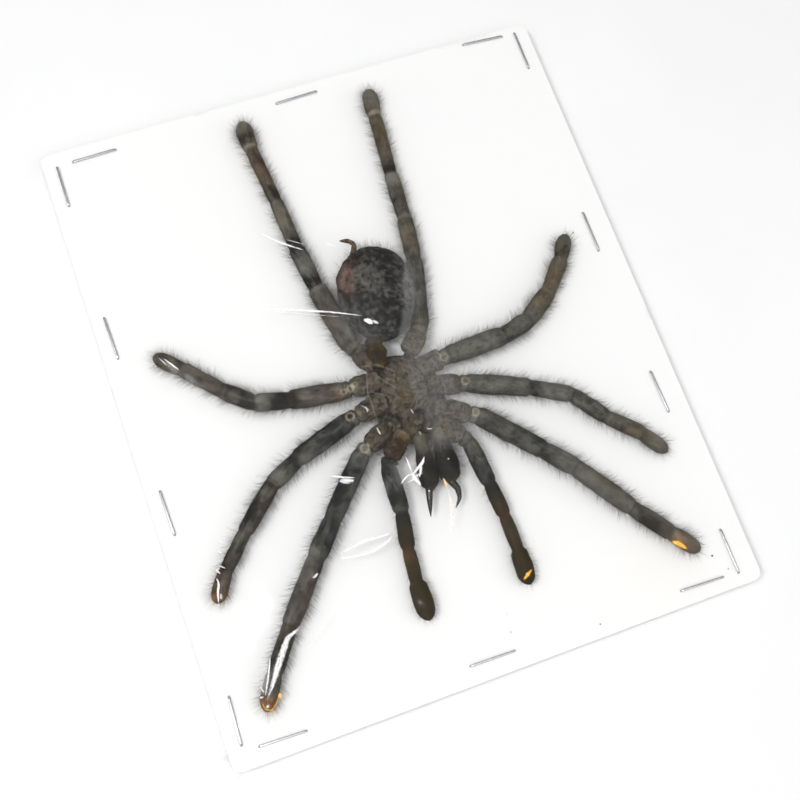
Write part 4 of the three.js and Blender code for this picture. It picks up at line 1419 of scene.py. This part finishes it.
class SPECIMEN_OT_hair(bpy.types.Operator):
    """Grow the short fuzz and long bristles on every hairy piece"""
    bl_idname = "specimen.hair"
    bl_label = "Hair"

    def execute(self, context):
        s = sizes()
        dark = hair_material("leg_hair", rgba("leg_dark"), (0.17, 0.165, 0.14, 1), 0.22)
        dusty = hair_material("body_hair", (0.03, 0.024, 0.016, 1), (0.3, 0.25, 0.19, 1), 0.2)
        tree = hair_tree()
        for name, (slot, fuzz, bristle, size) in HAIRY.items():
            piece = grown(name + "_hair", bpy.data.objects[name + "_skin"].data, tree, {
                "Fuzz Density": s.fuzz_count * PER_SQUARE_CM * fuzz,
                "Bristle Density": s.bristle_count * PER_SQUARE_CM * bristle,
                "Fuzz Length": s.fuzz * size, "Bristle Length": s.bristle * size,
                "Fuzz Width": s.hair_width, "Bristle Width": s.hair_width,
                "Material": dusty if slot == "body" else dark})
            finish_piece(piece, slot)
        return {"FINISHED"}


# ---- staples and film


STAPLE_RISE = 0.48  # height of the crown's middle over the board, in millimetres
STAPLE_CLINCH = 0.0024  # length of the folded ends
STAPLE_BEND = 0.0007  # radius of the bends


class SPECIMEN_OT_staples(bpy.types.Operator):
    """Bend the wire staples over the film and through the board"""
    bl_idname = "specimen.staples"
    bl_label = "Staples"

    def execute(self, context):
        s = sizes()
        places = [row for side in STAPLES.values() for row in side]
        base = bpy.data.meshes.new("staple_places")
        base.from_pydata([(x * MM, y * MM, 0) for x, y, _ in places], [], [])
        heading = base.attributes.new("heading", "FLOAT", "POINT")
        heading.data.foreach_set("value", [math.radians(a) for *_, a in places])
        bright = colours().steel
        steel = two_tone_material(
            "staple_steel", [c * 0.8 for c in bright], bright, 900.0, 4000.0, 0.35, 0.65, (0.16, 0.34),
            0.00001, Metallic=1.0)
        piece = grown("staples", base, staple_tree(), {
            "Crown": s.crown - s.wire, "Wire": s.wire, "Low": BACK * MM, "High": (THICK + STAPLE_RISE) * MM,
            "Clinch": STAPLE_CLINCH, "Bend": STAPLE_BEND, "Material": steel})
        names = [f"staple_{side}_{i + 1}" for side, row in STAPLES.items() for i in range(len(row))]
        finish_piece(piece, "staple", *names)
        return {"FINISHED"}


FILM_PITCH = 0.85
FILM_REST = 0.1  # height of the flat film above the board
FILM_CLEAR = 0.28  # room between the film and the skin that it lies on
FILM_ROUNDS = 900  # rounds of pulling it tight
FILM_PULL = 1.93  # how far each round overshoots the mean of the neighbours
OVERHEAD = 60  # height from which a ray looks down
FILM_HEM = {"left": 5, "right": 7.7, "top": 5.4, "bottom": 6}


def skins_below():
    """A tree of every skin, to find how high the spider stands at a place."""
    points, faces = [], []
    for piece in bpy.data.objects:
        if piece.name.endswith("_skin"):
            base = len(points)
            points += [v.co / MM for v in piece.data.vertices]
            faces += [tuple(i + base for i in f.vertices) for f in piece.data.polygons]
    return BVHTree.FromPolygons(points, faces)


def height_over(tree, x, y, default=-math.inf):
    """The height of the tree's top at x, y."""
    hit = tree.ray_cast(Vector((x, y, OVERHEAD)), Vector((0, 0, -1)))[0]
    return default if hit is None else hit.z


def taut(x, y):
    """Heights of a film pulled tight over the spider and flat on the hem."""
    tree = skins_below()
    low = np.full(x.shape, THICK + FILM_REST)
    for at in np.ndindex(x.shape):
        low[at] = max(low[at], height_over(tree, x[at], y[at]) + FILM_CLEAR)
    half_x, half_y = np.abs(x).max(), np.abs(y).max()
    held = ((x < -half_x + FILM_HEM["left"]) | (x > half_x - FILM_HEM["right"])
            | (y < -half_y + FILM_HEM["bottom"]) | (y > half_y - FILM_HEM["top"]))
    z = low.copy()
    even = np.indices(x.shape).sum(0) % 2 == 0
    for _ in range(FILM_ROUNDS):
        for turn in (even, ~even):
            mean = z.copy()
            mean[1:-1, 1:-1] = (z[:-2, 1:-1] + z[2:, 1:-1] + z[1:-1, :-2] + z[1:-1, 2:]) / 4
            z = np.where(turn & ~held, np.maximum(z + FILM_PULL * (mean - z), low), z)
    return z


def near_line(x, y, x0, y0, x1, y1):
    """Distance from each point to a line."""
    dx, dy = x1 - x0, y1 - y0
    t = unit(((x - x0) * dx + (y - y0) * dy) / (dx * dx + dy * dy))
    return np.hypot(x - x0 - t * dx, y - y0 - t * dy)


def clear_below(tree, amount, shader):
    """A shader laid over a clear one by an amount."""
    clear = out(tree, "ShaderNodeBsdfTransparent")
    return out(tree, "ShaderNodeMixShader", {0: amount, 1: clear, 2: shader.outputs[0]})


def film_tone(name, **values):
    material, tree, shader = new_material(name, **values)
    spots = mottle(tree, 160.0, 900.0, 0.45, 0.7)
    base = mixed(tree, spots["Patch"], (0.9, 0.91, 0.93, 1), (1.0, 1.0, 1.0, 1))
    tree.links.new(base, shader.inputs["Base Color"])
    return material, tree, shader, spots, tree.nodes["Material Output"].inputs["Surface"]


def film_material():
    """Clear film: a weak sheen over what lies below it, under a painted pale veil of reflected light on some
    facets.
    """
    material, tree, shader, spots, surface = film_tone("clear_film", Metallic=1.0)
    tree.links.new(span(tree, spots["Grain"], 0.3, 0.7, 0.08, 0.16), shader.inputs["Roughness"])
    bump(tree, shader, spots["Patch"], 0.3, 0.0001)
    fresnel = out(tree, "ShaderNodeFresnel", {"IOR": 1.21})
    facing = calc(tree, "SUBTRACT", 1.0, out(tree, "ShaderNodeNewGeometry", key="Backfacing"))
    sheen = clear_below(tree, times(tree, calc(tree, "MINIMUM", fresnel, 0.1), facing), shader)
    # Painted reflection: a pale rough white laid over the film on the veiled facets.
    veil_shader = out(tree, "ShaderNodeBsdfPrincipled", {"Roughness": 0.6, "Base Color": (0.96, 0.97, 0.95, 1)})
    haze = times(tree, attribute(tree, "haze"), span(tree, spots["Patch"], 0.0, 1.0, 0.8, 1.2))
    tree.links.new(out(tree, "ShaderNodeMixShader", {0: haze, 1: sheen, 2: veil_shader}), surface)
    return material


def film_inside_material():
    """The side of the film that faces the board, which lets the light through."""
    material, tree, shader, _, surface = film_tone("film_inside", Roughness=0.4)
    tree.links.new(clear_below(tree, 0.004, shader), surface)
    return material


def glint_material():
    """Painted highlights on the folds of the film: white, and a painted warm reflection on a few."""
    material, tree, shader = new_material("film_fold_glint", Roughness=0.3, Specular_IOR_Level=0.6)
    spots = mottle(tree, 1300.0, 3200.0, 0.3, 0.6)
    pelt = use_group(tree, pelt_group(), Fineness=2.2, Length=0.5)
    # Painted highlight: white, or orange as a painted reflection of a warm light.
    gold = mixed(tree, spots["Patch"], (0.95, 0.3, 0.02, 1), (1.0, 0.62, 0.06, 1))
    base = mixed(tree, attribute(tree, "gold"), (1.0, 1.0, 1.0, 1), gold)
    tree.links.new(base, shader.inputs["Base Color"])
    broken = weighted(tree, (pelt["Strands"], 0.7), (spots["Grain"], 0.9))
    # How much painted highlight covers the fold, broken into streaks.
    shine = times(tree, attribute(tree, "crease"), span(tree, broken, 0.35, 0.95, 0.25, 1.4))
    both = clear_below(tree, calc(tree, "MINIMUM", shine, 1.0), shader)
    tree.links.new(both, tree.nodes["Material Output"].inputs["Surface"])
    return material


def inside(x, y, corners, soft):
    """How far each point is inside a polygon, from 0 outside to 1 within."""
    odd, near = np.zeros(x.shape, bool), np.full(x.shape, 1e9)
    for (ax, ay), (bx, by) in zip(corners, corners[1:] + corners[:1]):
        crosses = (ay > y) != (by > y)
        with np.errstate(divide="ignore", invalid="ignore"):
            odd ^= crosses & (x < (bx - ax) * (y - ay) / (by - ay) + ax)
        near = np.minimum(near, near_line(x, y, ax, ay, bx, by))
    return unit(0.5 + np.where(odd, near, -near) / soft)


class Shell:
    """A thin closed shell gathered from open sheets and the loops that bound them."""

    def __init__(self):
        self.points, self.faces, self.slots, self.count = [], [], [], 0
        self.values = {key: [] for key in ("crease", "gold", "haze", "across", "along")}

    def add(self, points, faces, loop, thickness, slots, **values):
        """Both sides of an open sheet, joined along its loop; slots are for the top and the rest."""
        mesh = bpy.data.meshes.new("sheet")
        mesh.from_pydata(points.tolist(), [], faces)
        mesh.update()
        normals = normals_of(mesh)
        bpy.data.meshes.remove(mesh)
        n, base = len(points), self.count
        self.points += [points + normals * thickness, points]
        self.faces += [tuple(i + base for i in f) for f in faces]
        self.faces += [tuple(i + base + n for i in f[::-1]) for f in faces]
        after = np.roll(loop, -1)
        self.faces += as_faces(np.stack([after, loop, loop + n, after + n], 1) + base)
        self.slots += [slots[0]] * len(faces) + [slots[1]] * (len(faces) + len(loop))
        for key, gathered in self.values.items():
            gathered.extend([values.get(key, np.zeros(n))] * 2)
        self.count += 2 * n

    def piece(self, name, materials):
        piece = make_piece(name, np.vstack(self.points), self.faces, materials)
        piece.data.polygons.foreach_set("material_index", self.slots)
        joined = {key: np.concatenate(gathered) for key, gathered in self.values.items()}
        for key in ("crease", "gold", "haze"):
            store(piece, key, joined[key])
        add_map(piece, joined["across"], joined["along"])
        return piece


FOLD_STEP = 0.22
FOLD_COLUMNS = 7


def fold_strip(shell, top, knots, width, shine, gold, number):
    """A narrow raised strip of folded film along a line, thin at both ends, that carries a painted highlight.
    """
    knots = np.array(knots, float)
    run = run_along(knots)
    steps = max(6, round(run[-1] / FOLD_STEP))
    at = np.linspace(0, run[-1], steps + 1)
    line = smoothed(through(knots, at, run), 3 if steps > 12 else 1)
    arch = np.sin(math.pi * at / run[-1])
    wobble = 0.06 * np.array([noise.noise(Vector((a * 1.3, number, 0))) for a in at])
    jag = 1 + 0.45 * np.array([noise.noise(Vector((a * 2.1, number, 5))) for a in at])
    ways = unit_rows(np.gradient(line, axis=0))
    side = np.stack([-ways[:, 1], ways[:, 0]], 1)
    across = np.linspace(-1, 1, FOLD_COLUMNS)[None, :]
    half = np.maximum(width * (0.2 + 0.8 * arch) * jag, 0.035)[:, None]
    spots = line[:, None] + side[:, None, :] * (across * half + wobble[:, None])[..., None]
    rise = 0.1 * arch[:, None] * (1 - across ** 2)
    z = np.array([[top(x, y) for x, y in row] for row in spots]) + 0.05 + rise
    points = np.concatenate([spots, z[..., None]], 2).reshape(-1, 3)
    index = np.arange(len(points)).reshape(len(at), FOLD_COLUMNS)
    # The painted highlight fades towards the strip's ends and sides.
    fade = np.clip(arch * 3, 0.15, 1)[:, None] * (1 - 0.75 * across ** 2)
    shell.add(points, as_faces(grid_faces(index)), grid_border(index), 0.03, (2, 1),
              crease=(shine * fade).ravel(), gold=np.full(len(points), float(gold)),
              across=(across * half).ravel(), along=np.repeat(at, FOLD_COLUMNS))


class SPECIMEN_OT_film(bpy.types.Operator):
    """Stretch the clear film over the spider, round the board and under its edges"""
    bl_idname = "specimen.film"
    bl_label = "Clear film"

    def execute(self, context):
        half_x, half_y, corner = board_outline(0.12)
        x, y, faces, border = sheet_grid(half_x, half_y, corner, FILM_PITCH)
        z = taut(x, y).ravel()
        flat = np.stack([x.ravel(), y.ravel(), np.zeros(x.size)], 1)
        wrinkle = np.abs(rough(flat, 0.09, 5)) * 0.35 + np.abs(rough(flat, 0.25, 8)) * 0.08
        open_share = unit((z - THICK - FILM_REST) / 2.5)
        sheet = flat.copy()
        sheet[:, 2] = z + wrinkle * open_share + 0.02 * np.abs(rough(flat, 0.3, 2))
        edge = flat[border]
        ways = border_ways(edge, half_x, half_y, corner)
        crumple = rough(edge, 0.35, 4)
        points, loops = [sheet], [border]
        # the film's way round the board's side and under it: how far out, and its height
        path = ((0.05, THICK - 0.25), (0.08, THICK * 0.6), (0.05, THICK * 0.25), (0.0, 0.16), (-1.0, 0.1),
                (-5.0, 0.1), (-sizes().hem / MM, 0.1))
        for k, (offset, height) in enumerate(path):
            ring = edge.copy()
            if offset < -0.5:
                ring[:, :2] *= ((half_x + offset) / half_x, (half_y + offset) / half_y)
            else:
                ring[:, :2] += ways * (offset + 0.1 * crumple)[:, None]
            ring[:, 2] = height + 0.05 * np.abs(crumple)
            loops.append(len(sheet) + k * len(edge) + np.arange(len(edge)))
            points.append(ring)
        sheet_faces = as_faces(faces)
        all_faces = sheet_faces + [face for a, b in zip(loops[:-1], loops[1:]) for face in bridge(a, b)]
        points = np.vstack(points)
        # Painted pale veil of reflected light on the listed facets.
        haze = np.zeros(len(points))
        for corners, strength, soft in PAINTED_VEILS:
            amount = strength * inside(flat[:, 0], flat[:, 1], corners, soft)
            haze[:len(sheet)] = np.maximum(haze[:len(sheet)], amount)
        shell = Shell()
        shell.add(points, all_faces, loops[-1], sizes().film / MM, (0, 1), haze=haze)
        tree = BVHTree.FromPolygons(sheet.tolist(), sheet_faces)
        # Strips along the folds that carry the painted highlights.
        for number, fold in enumerate(FOLD_GLINTS):
            fold_strip(shell, lambda px, py: height_over(tree, px, py, THICK + FILM_REST), *fold, number)
        piece = shell.piece("film", (film_material(), film_inside_material(), glint_material()))
        mark_sharp(piece, 40)
        finish_piece(piece, "film", "clear_film")
        return {"FINISHED"}


# ---- stage


CAMERA_PLACE = (-0.05886, -0.08571, 0.31962)
CAMERA_AXES = ((0.93584, -0.3413, 0.08789), (0.30669, 0.91151, 0.27403), (-0.17363, -0.2295, 0.9577))


CAMERA_LENS, CAMERA_SENSOR, CAMERA_NEAR = 55.45, 36, 0.01
FLOOR, FLOOR_LEVEL = 3000, -0.3  # half the floor's side, and its height
WORLD_LIGHT = 0.49
LIGHTS = {  # place, size and power
    "soft_light": ((-0.25, -0.2, 1.0), 1.2, 4.7),
    "key_light": ((-0.5, -0.06, 1.0), 0.25, 4.6),
    "fill_light": ((0.7, -0.5, 0.8), 1.0, 2.0),
}


class SPECIMEN_OT_stage(bpy.types.Operator):
    """Set the pale floor, the soft lights and the camera"""
    bl_idname = "specimen.stage"
    bl_label = "Stage"

    def execute(self, context):
        scene = context.scene
        material = two_tone_material(
            "floor_paint", (0.83, 0.83, 0.835), (0.86, 0.86, 0.86), 12.0, 800.0, 0.3, 0.7, (0.6, 0.75),
            0.00004)
        corners = [(x * FLOOR, y * FLOOR, FLOOR_LEVEL) for x, y in ((-1, -1), (1, -1), (1, 1), (-1, 1))]
        make_piece("floor", corners, [(0, 1, 2, 3)], (material,))
        world = bpy.data.worlds.new("studio")
        world.use_nodes = True
        background = world.node_tree.nodes["Background"]
        background.inputs["Color"].default_value = (1.0, 1.0, 1.0, 1)
        background.inputs["Strength"].default_value = WORLD_LIGHT
        scene.world = world
        for name, (place, size, power) in LIGHTS.items():
            data = bpy.data.lights.new(name, "AREA")
            data.size, data.energy = size, power
            light = link_object(name, data)
            light.location = place
            light.rotation_euler = (-Vector(place)).to_track_quat("-Z", "Y").to_euler()
        data = bpy.data.cameras.new("camera")
        data.lens, data.sensor_width, data.clip_start = CAMERA_LENS, CAMERA_SENSOR, CAMERA_NEAR
        camera = link_object("camera", data)
        camera.matrix_world = Matrix.Translation(CAMERA_PLACE) @ Matrix(CAMERA_AXES).transposed().to_4x4()
        scene.camera = camera
        scene.view_settings.view_transform = "Standard"
        return {"FINISHED"}


class SPECIMEN_PT_panel(bpy.types.Panel):
    bl_idname = "SPECIMEN_PT_panel"
    bl_label = "Mounted tarantula"
    bl_space_type = "VIEW_3D"
    bl_region_type = "UI"
    bl_category = "Specimen"

    def draw(self, context):
        for step in STEPS:
            self.layout.operator(step.bl_idname)
        for group in (context.scene.specimen_sizes, context.scene.specimen_colours):
            box = self.layout.box()
            for key in type(group).__annotations__:
                box.prop(group, key)


STEPS = (SPECIMEN_OT_board, SPECIMEN_OT_legs, SPECIMEN_OT_body, SPECIMEN_OT_abdomen, SPECIMEN_OT_jaws,
         SPECIMEN_OT_hair, SPECIMEN_OT_staples, SPECIMEN_OT_film, SPECIMEN_OT_stage)
CLASSES = (SpecimenSizes, SpecimenColours, *STEPS, SPECIMEN_PT_panel)


def register():
    for cls in CLASSES:
        bpy.utils.register_class(cls)
    bpy.types.Scene.specimen_sizes = PointerProperty(type=SpecimenSizes)
    bpy.types.Scene.specimen_colours = PointerProperty(type=SpecimenColours)


def unregister():
    del bpy.types.Scene.specimen_colours
    del bpy.types.Scene.specimen_sizes
    for cls in reversed(CLASSES):
        bpy.utils.unregister_class(cls)


def main():
    register()
    for step in STEPS:
        group, name = step.bl_idname.split(".")
        getattr(getattr(bpy.ops, group), name)()


if __name__ == "__main__":
    main()
